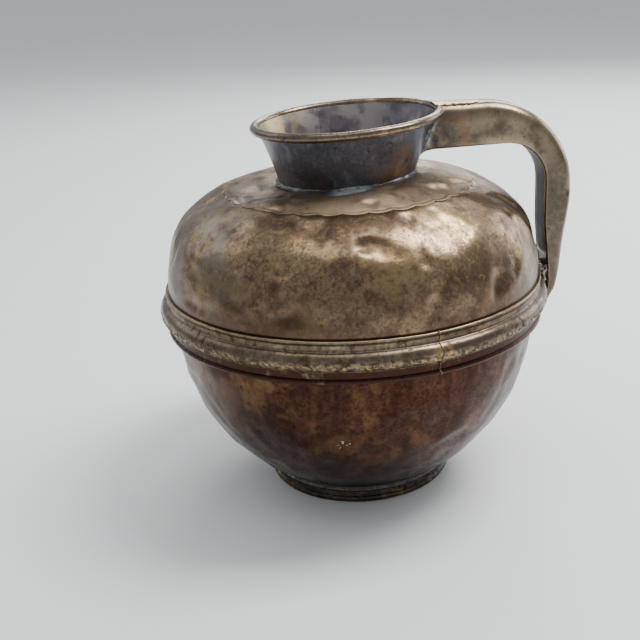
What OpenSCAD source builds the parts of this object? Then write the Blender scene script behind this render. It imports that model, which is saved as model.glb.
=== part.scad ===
// Round-bodied brass water jug, raised from sheet in two halves.
// The halves lap at the girdle under a moulded hoop, and a toothed collar plate carries the neck.
// Origin: centre of the circle the foot ring stands on. +Z is up, the handle points along +X.

/* [Body] */
// Outer diameter of the shoulder's straight skirt
body_d = 228.6; // [190:0.2:280]
// Height of the bowl's widest circle above the table
girdle_z = 112; // [95:0.5:135]
// Height of the shoulder's crown above the bowl's widest circle
crown_rise = 83; // [70:0.5:100]
// Squareness of the shoulder's curve, 2 is an ellipse
shoulder_square = 3.3; // [2.4:0.1:4]
// How far the bowl's curve would run on below the table if it had no flat base
bowl_sink = 6; // [2:0.5:14]
// Thickness of the body sheet
wall = 1.5; // [1:0.1:2.5]
// Gap that the solder fills where two sheets lap
solder_gap = 0.8; // [0.4:0.1:1.2]

/* [Foot] */
// Height of the bowl's flat base above the table
base_z = 4; // [2.5:0.1:6]
// How far the foot ring flares from its upper edge down to its bead
foot_flare = 1.1; // [0.6:0.1:3]
// Radius of the bead that the foot ring stands on
foot_bead_r = 2.2; // [1.5:0.1:3]
// Thickness of the foot ring's strip
foot_t = 2; // [1.2:0.1:3]
// Radius of the thin line along the foot ring's upper edge
foot_lip_r = 1; // [0.6:0.1:1.6]

/* [Girdle] */
// Height that the bowl's straight edge stands inside the skirt
lap_h = 9; // [6:0.5:14]
// Height that the shoulder's skirt hangs below the bowl's widest circle
skirt_drop = 4; // [2:0.5:6]
// Radius of the half-round bead
bead_r = 5.7; // [4:0.1:8]
// Height of the bead's centre above the bowl's widest circle
bead_rise = 7.3; // [6:0.1:10]
// Thickness of the hoop's flat band
band_t = 1.2; // [0.8:0.1:2]
// Height of the flat band above the bead's centre
band_rise = 11.7; // [9:0.1:16]
// Radius of the thin lip along the band's upper edge
lip_r = 0.9; // [0.6:0.1:1.5]
// Radius of the small lower bead
low_bead_r = 1.6; // [1:0.1:2.2]
// Bearing of the brazed joint that closes the hoop, degrees from the handle
hoop_joint_az = -75; // [-150:5:-30]
// Width of that joint
hoop_joint_w = 1.6; // [0.8:0.1:3]

/* [Neck] */
// Mean radius of the toothed seam between shoulder and collar plate
seam_r = 75; // [66:0.5:82]
// Number of rounded teeth round the seam
seam_teeth = 34; // [28:1:44]
// Radius of the curve of one tooth
tooth_r = 13; // [10:0.5:18]
// How far a tooth reaches past the seam's mean circle
tooth_rise = 1; // [0.6:0.1:1.6]
// Open width of the toothed seam
seam_gap = 0.2; // [0.1:0.05:0.5]
// Width of the braze strip that backs the toothed seam
braze_w = 13; // [11:0.5:16]
// Outer radius of the neck where it stands on the collar plate
neck_r = 41.4; // [34:0.2:50]
// Thickness of the neck sheet
neck_wall = 1.1; // [0.8:0.1:1.8]
// How far the neck's side bows in from a straight cone
neck_bow = 0.8; // [0:0.1:2]
// Leg of the solder fillet at the foot of the neck
neck_fillet = 2.6; // [1.5:0.1:4]
// Height of the rim wire's centre circle above the crown
neck_rise = 32.3; // [26:0.1:42]
// Outer diameter of the rolled rim
rim_d = 115.4; // [100:0.2:130]
// Radius of the wire inside the rolled rim
wire_r = 1.5; // [1:0.1:2.2]
// Slope of the rim, rising towards the handle, in degrees
rim_tilt = 2.5; // [0:0.5:4]
// Bearing of the neck's brazed side seam, degrees from the handle
neck_seam_az = 98; // [60:2:150]
// Width of the neck's side seam
neck_seam_w = 5; // [3:0.5:8]

/* [Handle] */
// Room between the shoulder's skirt and the handle's grip
grip_gap = 6.7; // [5:0.1:25]
// Depth of the handle's grip, front to back
grip_depth = 17.3; // [13:0.1:22]
// Depth of the handle's root below the rim
root_depth = 25.3; // [20:0.1:28]
// Width of the handle
handle_w = 22; // [16:0.5:28]
// Thickness of the handle sheet
handle_wall = 1.2; // [0.8:0.1:1.6]
// Radius of the handle's outer bend
bend_out_r = 55; // [40:1:60]
// Radius of the handle's inner bend
bend_in_r = 25; // [18:1:30]
// Height above the bowl's widest circle where the handle's outer face starts to lean in
elbow_rise = 58; // [44:1:64]
// Height above the bowl's widest circle where its inner face starts to lean out
inner_elbow_rise = 40; // [30:1:50]
// Depth of the strap where the handle crosses the bead
strap_depth = 5.5; // [4:0.1:7]
// Room between the bead and the strap, filled with solder
strap_gap = 4.2; // [2.5:0.1:6]
// How far the tail's tip hangs below the bowl's widest circle
tail_drop = 34; // [26:0.5:42]
// Thickness of the tail's tip
tip_t = 2.6; // [1.8:0.1:4]
// Width of the tail's tip
tip_w = 12; // [8:0.5:18]
// Solder under the tail's tip
tip_gap = 1; // [0.4:0.1:2]
// Clearance round the handle's closing strip
strip_gap = 0.1; // [0.05:0.05:0.2]
// Length of the tab that laps from the rim over the handle
tab_len = 28; // [18:0.5:40]
// Width of that tab
tab_w = 15; // [8:0.5:20]
// Thickness of that tab
tab_t = 0.9; // [0.5:0.1:1.5]
// Width of the solder round the handle's root
root_solder = 2.4; // [1.2:0.1:4]

/* [Hidden] */
$fn = 96;
// Clearance between a cut end and the round surface it is fitted to
fit_gap = 0.05;
far = 400;
// The shoulder's curve is drawn with a chord every so many degrees, the bowl's likewise
curve_step = 2.5;
// The neck's side is drawn with this many chords
neck_steps = 8;

body_r = body_d / 2;
bowl_r = body_r - wall - solder_gap;
bowl_curve = girdle_z + bowl_sink;
crown_z = girdle_z + crown_rise;
skirt_z = girdle_z - skirt_drop;
lap_z = girdle_z + lap_h;
// Height of the skirt's straight wall above the bowl's widest circle
skirt_rise = 6;
shoulder_z = girdle_z + skirt_rise;
shoulder_h = crown_z - shoulder_z;

bead_z = girdle_z + bead_rise;
band_z = bead_z + band_rise;
// The hoop covers the skirt's lower edge by this much
hoop_cover = 2;
hoop_low_z = skirt_z - hoop_cover;
// How far the centres of the thin beads are sunk into the strip they edge
edge_sink = 0.4;

rim_z = crown_z + neck_rise;
roll_r = wire_r + neck_wall;
rim_r = rim_d / 2 - roll_r;
neck_lean = (rim_r - roll_r - neck_r + neck_wall) / (rim_z - crown_z);
rim_shift = rim_r * tan(rim_tilt) * neck_lean;
rim_rise = rim_r * tan(rim_tilt);

handle_top = rim_z + rim_rise + roll_r;
grip_x = body_r + grip_gap;
handle_reach = grip_x + grip_depth;
elbow_z = girdle_z + elbow_rise;
inner_elbow_z = girdle_z + inner_elbow_rise;
// Straight stretch kept between the outer bend and the elbow
elbow_room = 6;
// The outer bend is no rounder than the height above the elbow allows
outer_bend = min(bend_out_r, handle_top - elbow_z - elbow_room);
// Radius of the handle's long elbow, outside and inside
elbow_r = 60;
// Radii where the handle turns in under the bead, outside and inside
strap_bend_out = 14;
strap_bend_in = 12;
// How much higher the inner face turns there
strap_bend_lift = 2;
// How far the handle's underside runs on inside the neck before it is trimmed
root_run = 4;
root_z = handle_top - root_depth;
strap_x = body_r + bead_r + strap_gap;
strap_z = bead_z - bead_r - low_bead_r;
tip_z = girdle_z - tail_drop;

// ---- Curves of the body ----

// Value part way between two values
function mix(a, b, f) = a * (1 - f) + b * f;
// Chord-grid angles that lie strictly between two angles, in the order asked
function grid_between(a0, a1) = a0 < a1
    ? [for (a = [ceil(a0 / curve_step + 0.01) : floor(a1 / curve_step - 0.01)]) a * curve_step]
    : flip(grid_between(a1, a0));

// Corner of the shoulder's chords, set in by d, at curve angle a (0 at the skirt, 90 at the crown)
function shoulder_corner(a, d) = [
    (body_r - d) * pow(cos(a), 2 / shoulder_square),
    shoulder_z + (shoulder_h - d) * pow(sin(a), 2 / shoulder_square)
];
// Point on those chords
function shoulder_pt(a, d) =
    let (k = floor(a / curve_step))
    mix(shoulder_corner(k * curve_step, d), shoulder_corner((k + 1) * curve_step, d), a / curve_step - k);
// Curve angle at which that curve has radius r
function shoulder_angle(r, d) = acos(pow(r / (body_r - d), shoulder_square / 2));
// Stretch of that curve between two angles
function shoulder_line(a0, a1, d) = [
    shoulder_pt(a0, d), each [for (a = grid_between(a0, a1)) shoulder_corner(a, d)], shoulder_pt(a1, d)
];
// Height of that curve at radius r
function shoulder_top(r, d) = shoulder_pt(shoulder_angle(r, d), d)[1];

// Point on the bowl's curve, set in by d, at angle b below its widest circle
function bowl_pt(b, d) = [(bowl_r - d) * cos(b), girdle_z - (bowl_curve - d) * sin(b)];
function bowl_angle(z, d) = asin((girdle_z - z) / (bowl_curve - d));
function bowl_line(b0, b1, d) = [
    bowl_pt(b0, d), each [for (b = grid_between(b0, b1)) bowl_pt(b, d)], bowl_pt(b1, d)
];
// Radius of that curve at height z
function bowl_at(z, d) = bowl_pt(bowl_angle(z, d), d)[0];

// Inner radius of the neck at s, 0 at its foot and 1 at the rim wire's centre
neck_z = shoulder_top(neck_r - neck_wall, 0);
neck_h = rim_z - neck_z;
function neck_curve(s) = (neck_r - neck_wall) + (rim_r - roll_r - neck_r + neck_wall) * s
    - 4 * neck_bow * s * (1 - s);
function neck_in(s) =
    let (k = floor(s * neck_steps))
    mix(neck_curve(k / neck_steps), neck_curve((k + 1) / neck_steps), s * neck_steps - k);
// Neck line set out from the inner face by d, from s0 up to s1
function neck_line(s0, s1, d) = [
    for (s = [
        s0,
        each [for (k = [floor(s0 * neck_steps) + 1 : ceil(s1 * neck_steps) - 1]) k / neck_steps],
        s1
    ]) [neck_in(s) + d, neck_z + neck_h * s]
];

// ---- Rounded outlines ----

function unit(v) = v / norm(v);
// Arc of radius r tangent to the two lines that meet at p1
function corner_arc(p0, p1, p2, r, n) =
    let (
        d0 = unit(p0 - p1),
        d1 = unit(p2 - p1),
        half = acos(d0 * d1) / 2,
        c = p1 + unit(d0 + d1) * r / sin(half),
        e0 = p1 + d0 * r / tan(half) - c,
        e1 = p1 + d1 * r / tan(half) - c,
        a0 = atan2(e0[1], e0[0]),
        turn = atan2(e0[0] * e1[1] - e0[1] * e1[0], e0 * e1)
    )
    [for (i = [0 : n]) c + r * [cos(a0 + turn * i / n), sin(a0 + turn * i / n)]];
// Line through corners given as [x, z, radius], where radius 0 leaves a plain point
function round_line(c) = [
    for (i = [0 : len(c) - 1]) let (p = [c[i][0], c[i][1]])
        each c[i][2] == 0 ? [p] : corner_arc(
            [c[i - 1][0], c[i - 1][1]], p, [c[i + 1][0], c[i + 1][1]], c[i][2], 10)
];
function flip(v) = [for (i = [len(v) - 1 : -1 : 0]) v[i]];

// Side view of the handle's outer face, set in by d
function handle_outer(d) = round_line([
    [rim_r + rim_shift, handle_top - d, 0],
    [handle_reach - d, handle_top - d, outer_bend - d],
    [handle_reach - d, elbow_z, elbow_r],
    [strap_x + strap_depth - d, strap_z, strap_bend_out],
    [bowl_at(tip_z, 0) + tip_gap + tip_t, tip_z, 0]
]);
// Side view of the handle's inner face, set out by d
function handle_inner(d) = round_line([
    [neck_r - root_run, root_z + d, 0],
    [grip_x + d, root_z + d, bend_in_r + d],
    [grip_x + d, inner_elbow_z, elbow_r],
    [strap_x + d, strap_z + strap_bend_lift, strap_bend_in],
    [bowl_at(tip_z, 0) + tip_gap, tip_z, 0]
]);
// Lowest height of the hollow in the handle
hollow_z = strap_z + 14;
// Height at which the tail starts to narrow
taper_z = strap_z + 16;

// ---- Shared shapes ----

// Turn a side view that lies in X and Z through width w, centred on the handle's plane
module side_slab(w) {
    translate([0, w / 2, 0])
        rotate([90, 0, 0])
            linear_extrude(height = w) children();
}

// Solid inside the shoulder, the hoop and the bowl: what the handle's solder is fitted against
module body_plug() {
    rotate_extrude($fn = 360) union() {
        polygon(concat([[0, skirt_z], [body_r, skirt_z]], shoulder_line(0, 87, 0), [[0, crown_z]]));
        polygon(concat([[0, base_z]], flip(bowl_line(0, bowl_angle(base_z, 0), 0)), [[0, girdle_z]]));
        hoop_section(fit_gap);
    }
}

// Solid inside the neck's outer face and rolled rim, with clearance
module neck_plug(d) {
    intersection() {
        rotate_extrude()
            polygon(concat([[0, neck_z - 9], [neck_r - 3, neck_z - 9]], neck_line(0, 1.2, neck_wall + d),
                [[0, neck_z + 1.2 * neck_h]]));
        below_rim();
    }
    rim_ring(roll_r + d);
}

// Half space under the sloping plane where the sheet starts to roll
module below_rim() {
    roll_start = 0.5;
    translate([0, 0, rim_z])
        rotate([0, -rim_tilt, 0])
            translate([-far / 2, -far / 2, -far - roll_start]) cube([far, far, far]);
}

// Ring of section radius r along the rim
module rim_ring(r) {
    translate([rim_shift, 0, rim_z])
        rotate([0, -rim_tilt, 0])
            rotate_extrude() translate([rim_r, 0]) circle(r = r);
}

// Outline of the toothed seam, grown by d
module seam_outline(d) {
    circle(r = seam_r - 3 * tooth_rise);
    for (i = [0 : seam_teeth - 1])
        rotate(i * 360 / seam_teeth)
            translate([seam_r + tooth_rise - tooth_r, 0]) circle(r = tooth_r + d);
}

// Section of the moulded hoop, grown by d
module hoop_section(d) {
    union() {
        polygon([
            [body_r, skirt_z], [bowl_r + fit_gap, skirt_z], [bowl_r + fit_gap, hoop_low_z],
            [body_r + band_t + d, hoop_low_z], [body_r + band_t + d, band_z], [body_r, band_z]
        ]);
        intersection() {
            union() {
                translate([body_r, bead_z]) circle(r = bead_r + d);
                translate([body_r + band_t - edge_sink / 2, band_z - lip_r]) circle(r = lip_r + d);
                translate([body_r + band_t - edge_sink, hoop_low_z + low_bead_r]) circle(r = low_bead_r + d);
            }
            translate([body_r + band_t / 4, 0]) square([far, far]);
        }
    }
}

// Flat slice of width w that crosses the hoop at its joint
module hoop_slot(w) {
    past = 5;
    rotate([0, 0, hoop_joint_az])
        translate([body_r - far / 8, -w / 2, hoop_low_z - past])
            cube([far / 4, w, band_z - hoop_low_z + 2 * past]);
}

// ---- Foot and bowl ----

// How high the foot ring stands up the bowl above its flat base
foot_rise = 5;
foot_top_z = base_z + foot_rise;
foot_in_top = bowl_at(foot_top_z, 0) + fit_gap;
foot_r = foot_in_top + foot_flare;
// How far in the foot ring's thin line is set
foot_lip_sink = 0.6;

module foot_ring() {
    color("#5c5650")
        rotate_extrude() union() {
            polygon([
                [foot_r - foot_t, 0], [foot_r + edge_sink, 0], [foot_r + edge_sink, 2 * foot_bead_r],
                [foot_in_top + foot_t - edge_sink, foot_top_z], [foot_in_top, foot_top_z],
                [foot_r - foot_t, 2 * foot_bead_r]
            ]);
            translate([foot_r, foot_bead_r]) circle(r = foot_bead_r);
            translate([foot_in_top + foot_t - foot_lip_sink, foot_top_z - foot_lip_r]) circle(r = foot_lip_r);
        }
}

module foot_solder() {
    fillet_z = foot_top_z + 2;
    color("#8a8f96")
        rotate_extrude()
            polygon([
                [foot_in_top, foot_top_z], [foot_in_top + foot_t - foot_lip_sink, foot_top_z],
                [bowl_at(fillet_z, 0) + fit_gap, fillet_z]
            ]);
}

module lower_bowl() {
    color("#5e3a2b")
        rotate_extrude()
            polygon(concat(
                [[0, base_z]],
                flip(bowl_line(0, bowl_angle(base_z, 0), 0)),
                [[bowl_r, lap_z], [bowl_r - wall, lap_z]],
                bowl_line(0, bowl_angle(base_z + wall, wall), wall),
                [[0, base_z + wall]]
            ));
}

// ---- Girdle ----

module girdle_solder() {
    color("#9a9c98")
        rotate_extrude()
            translate([bowl_r, girdle_z]) square([solder_gap, min(skirt_rise, lap_h)]);
}

module girdle_hoop() {
    color("#8f7443")
        difference() {
            rotate_extrude() hoop_section(0);
            hoop_slot(hoop_joint_w);
        }
}

module hoop_joint() {
    color("#c08a3a")
        intersection() {
            rotate_extrude() hoop_section(0);
            hoop_slot(hoop_joint_w);
        }
}

// ---- Shoulder, collar plate and neck ----

// How far inside the toothed seam the plain curve of the shoulder is drawn before the teeth cut it
seam_overrun = 9;

module upper_dome() {
    a_top = shoulder_angle(seam_r - seam_overrun, 0);
    color("#7d6746")
        difference() {
            rotate_extrude()
                polygon(concat(
                    [[body_r - wall, skirt_z], [body_r, skirt_z]],
                    shoulder_line(0, a_top, 0),
                    flip(shoulder_line(0, shoulder_angle(seam_r - seam_overrun, wall), wall))
                ));
            translate([0, 0, shoulder_z]) linear_extrude(height = far) seam_outline(0);
        }
}

module collar_plate() {
    hole_r = neck_r - neck_wall;
    plate_r = seam_r + 3 * tooth_rise;
    color("#7a6a52")
        intersection() {
            rotate_extrude()
                polygon(concat(
                    shoulder_line(shoulder_angle(plate_r, 0), shoulder_angle(hole_r, 0), 0),
                    flip(shoulder_line(shoulder_angle(plate_r, wall), shoulder_angle(hole_r, wall), wall))
                ));
            translate([0, 0, shoulder_z]) linear_extrude(height = far) seam_outline(-seam_gap);
        }
}

module collar_braze() {
    r_in = seam_r - braze_w / 2;
    r_out = seam_r + braze_w / 2;
    under = wall + solder_gap;
    color("#b58a4a")
        rotate_extrude()
            polygon(concat(
                shoulder_line(shoulder_angle(r_out, wall), shoulder_angle(r_in, wall), wall),
                flip(shoulder_line(shoulder_angle(r_out, under), shoulder_angle(r_in, under), under))
            ));
}

module neck() {
    color("#3e3a40")
        difference() {
            union() {
                intersection() {
                    rotate_extrude()
                        polygon(concat(neck_line(0, 1.2, neck_wall), flip(neck_line(0, 1.2, 0))));
                    below_rim();
                }
                rim_ring(roll_r);
            }
            rim_ring(wire_r);
        }
}

module neck_seam() {
    strip_t = 0.7;
    foot_end = 0.03;
    rim_end = 0.86;
    color("#a58a5c")
        intersection() {
            rotate_extrude()
                polygon(concat(neck_line(foot_end, rim_end, 0), flip(neck_line(foot_end, rim_end, -strip_t))));
            rotate([0, 0, neck_seam_az])
                translate([0, -neck_seam_w / 2, neck_z]) cube([far, neck_seam_w, neck_h]);
        }
}

module neck_solder() {
    toe = neck_r + neck_fillet;
    color("#9ba0a3")
        rotate_extrude()
            polygon(concat(
                shoulder_line(shoulder_angle(neck_r, 0), shoulder_angle(toe, 0), 0),
                flip(neck_line(0, neck_fillet / neck_h, neck_wall))
            ));
}

module rim_wire() {
    color("#b79a62") rim_ring(wire_r);
}

// ---- Handle ----

// Front view that narrows the tail to its rounded tip
module tail_mask() {
    tip_r = tip_w / 2;
    rotate([90, 0, 90])
        linear_extrude(height = far) union() {
            polygon([
                [-handle_w / 2, far], [-handle_w / 2, taper_z], [-tip_r, tip_z + tip_r],
                [tip_r, tip_z + tip_r], [handle_w / 2, taper_z], [handle_w / 2, far]
            ]);
            translate([0, tip_z + tip_r]) circle(r = tip_r);
        }
}

module handle_shell() {
    inside_w = handle_w - 2 * handle_wall;
    color("#7b6840")
        difference() {
            intersection() {
                side_slab(handle_w) polygon(concat(handle_outer(0), flip(handle_inner(0))));
                tail_mask();
            }
            intersection() {
                side_slab(inside_w)
                    polygon(concat(handle_outer(handle_wall), flip(handle_inner(-1))));
                translate([0, -far / 2, hollow_z]) cube([far, far, far]);
            }
            neck_plug(fit_gap);
        }
}

module handle_strip() {
    strip_w = handle_w - 2 * handle_wall - 2 * strip_gap;
    color("#6a5a3a")
        difference() {
            intersection() {
                side_slab(strip_w) polygon(concat(handle_inner(handle_wall), flip(handle_inner(0))));
                translate([0, -far / 2, hollow_z + strip_gap]) cube([far, far, far]);
            }
            neck_plug(fit_gap);
        }
}

module handle_tab() {
    start_x = rim_r + rim_shift - roll_r;
    color("#c9b48c")
        translate([start_x, 0, handle_top])
            linear_extrude(height = tab_t) union() {
                translate([0, -tab_w / 2]) square([tab_len - tab_w / 2, tab_w]);
                translate([tab_len - tab_w / 2, 0]) circle(r = tab_w / 2);
            }
}

module root_solder() {
    wide = handle_w + 2 * root_solder;
    color("#8d9196")
        difference() {
            intersection() {
                rotate_extrude()
                    polygon(concat(neck_line(0, 1, neck_wall + root_solder), flip(neck_line(0, 1, neck_wall))));
                translate([0, -wide / 2, root_z - root_solder])
                    cube([far, wide, root_depth + root_solder - 3 * roll_r]);
            }
            translate([0, -handle_w / 2, root_z]) cube([far, handle_w, root_depth]);
        }
}

module strap_solder() {
    start_x = body_r + band_t / 2;
    color("#b9aa98")
        difference() {
            side_slab(handle_w - 5)
                polygon([
                    [start_x, strap_z - 2], [strap_x, strap_z - 2], [strap_x, hollow_z], [start_x, hollow_z]
                ]);
            body_plug();
            side_slab(handle_w) polygon(concat(handle_outer(0), flip(handle_inner(0))));
        }
}

module tip_solder() {
    color("#9a8f80")
        difference() {
            intersection() {
                side_slab(tip_w - 2)
                    polygon([
                        [bowl_r - 30, tip_z + 1], [strap_x, tip_z + 1], [strap_x, tip_z + 9],
                        [bowl_r - 30, tip_z + 9]
                    ]);
                side_slab(tip_w)
                    polygon([
                        [0, tip_z], [bowl_at(tip_z, 0) + tip_gap, tip_z],
                        [strap_x, strap_z + 2], [0, strap_z + 2]
                    ]);
            }
            body_plug();
            side_slab(handle_w) polygon(concat(handle_outer(0), flip(handle_inner(0))));
        }
}

foot_ring();
foot_solder();
lower_bowl();
girdle_solder();
girdle_hoop();
hoop_joint();
upper_dome();
collar_plate();
collar_braze();
neck();
neck_seam();
neck_solder();
rim_wire();
handle_shell();
handle_strip();
handle_tab();
root_solder();
strap_solder();
tip_solder();
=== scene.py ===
import math
import bmesh
import bpy
from mathutils import Matrix, Vector


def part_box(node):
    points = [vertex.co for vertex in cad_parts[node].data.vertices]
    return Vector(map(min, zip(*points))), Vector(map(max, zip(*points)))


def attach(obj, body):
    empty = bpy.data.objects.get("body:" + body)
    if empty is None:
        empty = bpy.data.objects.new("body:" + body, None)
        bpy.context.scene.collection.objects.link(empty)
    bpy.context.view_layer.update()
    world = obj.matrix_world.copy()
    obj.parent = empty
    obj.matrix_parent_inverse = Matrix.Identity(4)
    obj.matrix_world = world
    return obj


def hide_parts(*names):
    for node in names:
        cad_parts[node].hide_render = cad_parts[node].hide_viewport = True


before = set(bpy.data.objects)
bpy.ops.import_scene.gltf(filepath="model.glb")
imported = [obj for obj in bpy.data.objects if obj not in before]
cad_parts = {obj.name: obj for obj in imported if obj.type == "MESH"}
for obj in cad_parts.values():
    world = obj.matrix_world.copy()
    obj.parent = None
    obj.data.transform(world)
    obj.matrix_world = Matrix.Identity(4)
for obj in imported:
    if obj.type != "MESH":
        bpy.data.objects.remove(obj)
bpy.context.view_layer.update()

mm = 0.001
fullTurn = 2 * math.pi


def toLinear(hexColour):
    # sRGB hex to linear red, green, blue and alpha
    parts = [int(hexColour[i:i + 2], 16) / 255 for i in (1, 3, 5)]
    return [p / 12.92 if p <= 0.04045 else ((p + 0.055) / 1.055) ** 2.4 for p in parts] + [1.0]


def addNode(tree, kind, settings={}, links={}):
    # a key that names or numbers a socket sets that socket, any other key is a property of the node
    node = tree.nodes.new(kind)
    for key, value in settings.items():
        if not isinstance(key, int) and key not in node.inputs:
            setattr(node, key, value)
    for key, value in settings.items():
        if isinstance(key, int) or key in node.inputs:
            node.inputs[key].default_value = value
    for key, source in links.items():
        socket = source if isinstance(source, bpy.types.NodeSocket) else source.outputs[0]
        tree.links.new(socket, node.inputs[key])
    return node


def maths(tree, operation, *parts, limited=False):
    # numbers fill the node's sockets in turn, anything else is linked to them
    numbers = {i: part for i, part in enumerate(parts) if isinstance(part, float)}
    sources = {i: part for i, part in enumerate(parts) if i not in numbers}
    settings = {"operation": operation, "use_clamp": limited}
    return addNode(tree, "ShaderNodeMath", {**settings, **numbers}, sources).outputs[0]


def sizedNoise(tree, place, size, seed, detail, roughness=0.5):
    # noise whose clouds are about as wide as size
    scale = maths(tree, "DIVIDE", 1.0, size)
    return addNode(tree, "ShaderNodeTexNoise",
                   {"noise_dimensions": "4D", "Detail": detail, "Roughness": roughness},
                   {"Vector": place, "W": seed, "Scale": scale}).outputs[0]


def sizedSwing(tree, place, size, seed, detail, depth):
    # the same noise about zero, times a depth
    centred = maths(tree, "SUBTRACT", sizedNoise(tree, place, size, seed, detail), 0.5)
    return maths(tree, "MULTIPLY", centred, depth)


def mix(a, b, share):
    return a + (b - a) * share


def clamp(value, low=0.0, high=1.0):
    return max(low, min(high, value))


def smooth(value):
    value = clamp(value)
    return value * value * (3 - 2 * value)


# sizes, from the frame
domeLow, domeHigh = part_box("upper_dome")
bowlLow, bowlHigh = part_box("lower_bowl")
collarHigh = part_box("collar_plate")[1]
hoopLow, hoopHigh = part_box("girdle_hoop")
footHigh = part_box("foot_ring")[1]
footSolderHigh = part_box("foot_solder")[1]
neckLow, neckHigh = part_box("neck")
wireLow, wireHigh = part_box("rim_wire")
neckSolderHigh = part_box("neck_solder")[1]
handleLow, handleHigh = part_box("handle_shell")
tabLow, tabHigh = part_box("handle_tab")
tipLow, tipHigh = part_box("tip_solder")
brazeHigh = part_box("collar_braze")[1]

body = {
    "wall": 1.5 * mm,
    "shoulderSquare": 3.3,      # 2 is an ellipse, higher is boxier
    "skirtHeight": 10 * mm,     # straight edge under the shoulder's curve
    "skirtDrop": 4 * mm,        # how far that edge hangs below the bowl's widest circle
    "bowlSink": 6 * mm,         # how far the bowl's curve would run on below the table
    "turnedAt": 97 * mm,        # radius where the shoulder's rings start to follow the teeth
    "teeth": 34,
    "toothRadius": 13 * mm,
    "toothReach": 76 * mm,      # radius of the teeth's tips
    "stepsPerTooth": 12,
    "seamWidth": 0.3 * mm,
    "lipHeight": 0.13 * mm,     # the collar plate's edge stands proud where it was hammered over
}
bodySteps = body["teeth"] * body["stepsPerTooth"]
bodyRadius = domeHigh.x
skirtLow = domeLow.z
shoulderLow = skirtLow + body["skirtHeight"]
girdleHeight = skirtLow + body["skirtDrop"]
bowlRadius = bowlHigh.x
bowlBase = bowlLow.z

neck = {
    "footRadius": 41.4 * mm,
    "wall": 1.1 * mm,
    "bow": 0.8 * mm,            # how far the side bows in from a straight cone
    "lean": 0.063,              # slope of the CAD neck's foot, up towards the handle
    "leanShown": 0.8,           # share of that slope the sheets take
    "sunk": 0.02,               # share of its height the neck runs on below the collar
    "steps": 34,
    "turnSteps": 288,
}
neckHole = neck["footRadius"] - neck["wall"]

rim = {"wireThickness": 3 * mm, "rollRadius": 2.6 * mm}
rimRadius = neckHigh.y - rim["rollRadius"]
rimCentre = (wireLow + wireHigh) / 2
rimTilt = math.asin((wireHigh.z - wireLow.z - rim["wireThickness"]) / (2 * rimRadius))


def crownShare(radius):
    return (1 - (radius / bodyRadius) ** body["shoulderSquare"]) ** (1 / body["shoulderSquare"])


crownRise = (collarHigh.z - shoulderLow) / crownShare(neckHole)


def shoulderHeight(radius, inset=0.0):
    share = clamp(radius / (bodyRadius - inset))
    rise = (1 - share ** body["shoulderSquare"]) ** (1 / body["shoulderSquare"])
    return shoulderLow + (crownRise - inset) * rise


def toothedRadius(angle):
    # the outline of round teeth that meet in cusps
    pitch = fullTurn / body["teeth"]
    turn = (angle + pitch / 2) % pitch - pitch / 2
    centre = body["toothReach"] - body["toothRadius"]
    return centre * math.cos(turn) + math.sqrt(body["toothRadius"] ** 2 - (centre * math.sin(turn)) ** 2)


def evenly(line, count):
    # the same line as count points an even distance apart
    runs = [0.0]
    for a, b in zip(line, line[1:]):
        runs.append(runs[-1] + math.dist(a, b))
    out, k = [], 0
    for i in range(count):
        want = runs[-1] * i / (count - 1)
        while k < len(line) - 2 and runs[k + 1] < want:
            k += 1
        share = clamp((want - runs[k]) / max(runs[k + 1] - runs[k], 1e-9))
        out.append(tuple(mix(p, q, share) for p, q in zip(line[k], line[k + 1])))
    return out


def meshPiece(name, points, faces):
    mesh = bpy.data.meshes.new(name)
    mesh.from_pydata(points, [], faces)
    mesh.update()
    piece = bpy.data.objects.new(name, mesh)
    bpy.context.scene.collection.objects.link(piece)
    return piece


def linePiece(name, points, closed):
    edges = [(i, i + 1) for i in range(len(points) - 1)] + ([(len(points) - 1, 0)] if closed else [])
    mesh = bpy.data.meshes.new(name)
    mesh.from_pydata(points, edges, [])
    piece = bpy.data.objects.new(name, mesh)
    bpy.context.scene.collection.objects.link(piece)
    return piece


def loftPiece(name, loops, around):
    # joins closed loops of points one to the next;
    # around closes the last on the first, else both ends are capped
    count, rows = len(loops[0]), len(loops)
    points = [p for loop in loops for p in loop]
    faces = []
    for i in range(rows if around else rows - 1):
        a, b = i * count, (i + 1) % rows * count
        for j in range(count):
            k = (j + 1) % count
            faces.append((a + j, b + j, b + k, a + k))
    if not around:
        faces.append(tuple(range(count)))
        faces.append(tuple((rows - 1) * count + j for j in reversed(range(count))))
    return meshPiece(name, points, faces)


def spunPiece(name, sectionAt, steps):
    # sectionAt gives the closed wall section, as radius and height, at each bearing
    loops = []
    for i in range(steps):
        angle = fullTurn * i / steps
        loops.append([(r * math.cos(angle), r * math.sin(angle), z) for r, z in sectionAt(angle)])
    return loftPiece(name, loops, True)


def markInside(piece, isInside):
    # an attribute of 1 on the inner face lets the finish differ inside
    layer = piece.data.attributes.new("inside", "FLOAT", "POINT")
    layer.data.foreach_set("value", [1.0 if isInside(v.co, v.index) else 0.0 for v in piece.data.vertices])


def newTree(name, inputs):
    tree = bpy.data.node_groups.new(name, "GeometryNodeTree")
    tree.interface.new_socket("Geometry", in_out="INPUT", socket_type="NodeSocketGeometry")
    kinds = {"float": "Float", "int": "Int", "tuple": "Vector", "NoneType": "Material"}
    for label, value in inputs.items():
        socketType = "NodeSocket" + kinds[type(value).__name__]
        socket = tree.interface.new_socket(label, in_out="INPUT", socket_type=socketType)
        if value is not None:
            socket.default_value = value
    tree.interface.new_socket("Geometry", in_out="OUTPUT", socket_type="NodeSocketGeometry")
    return tree, addNode(tree, "NodeGroupInput").outputs


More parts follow.
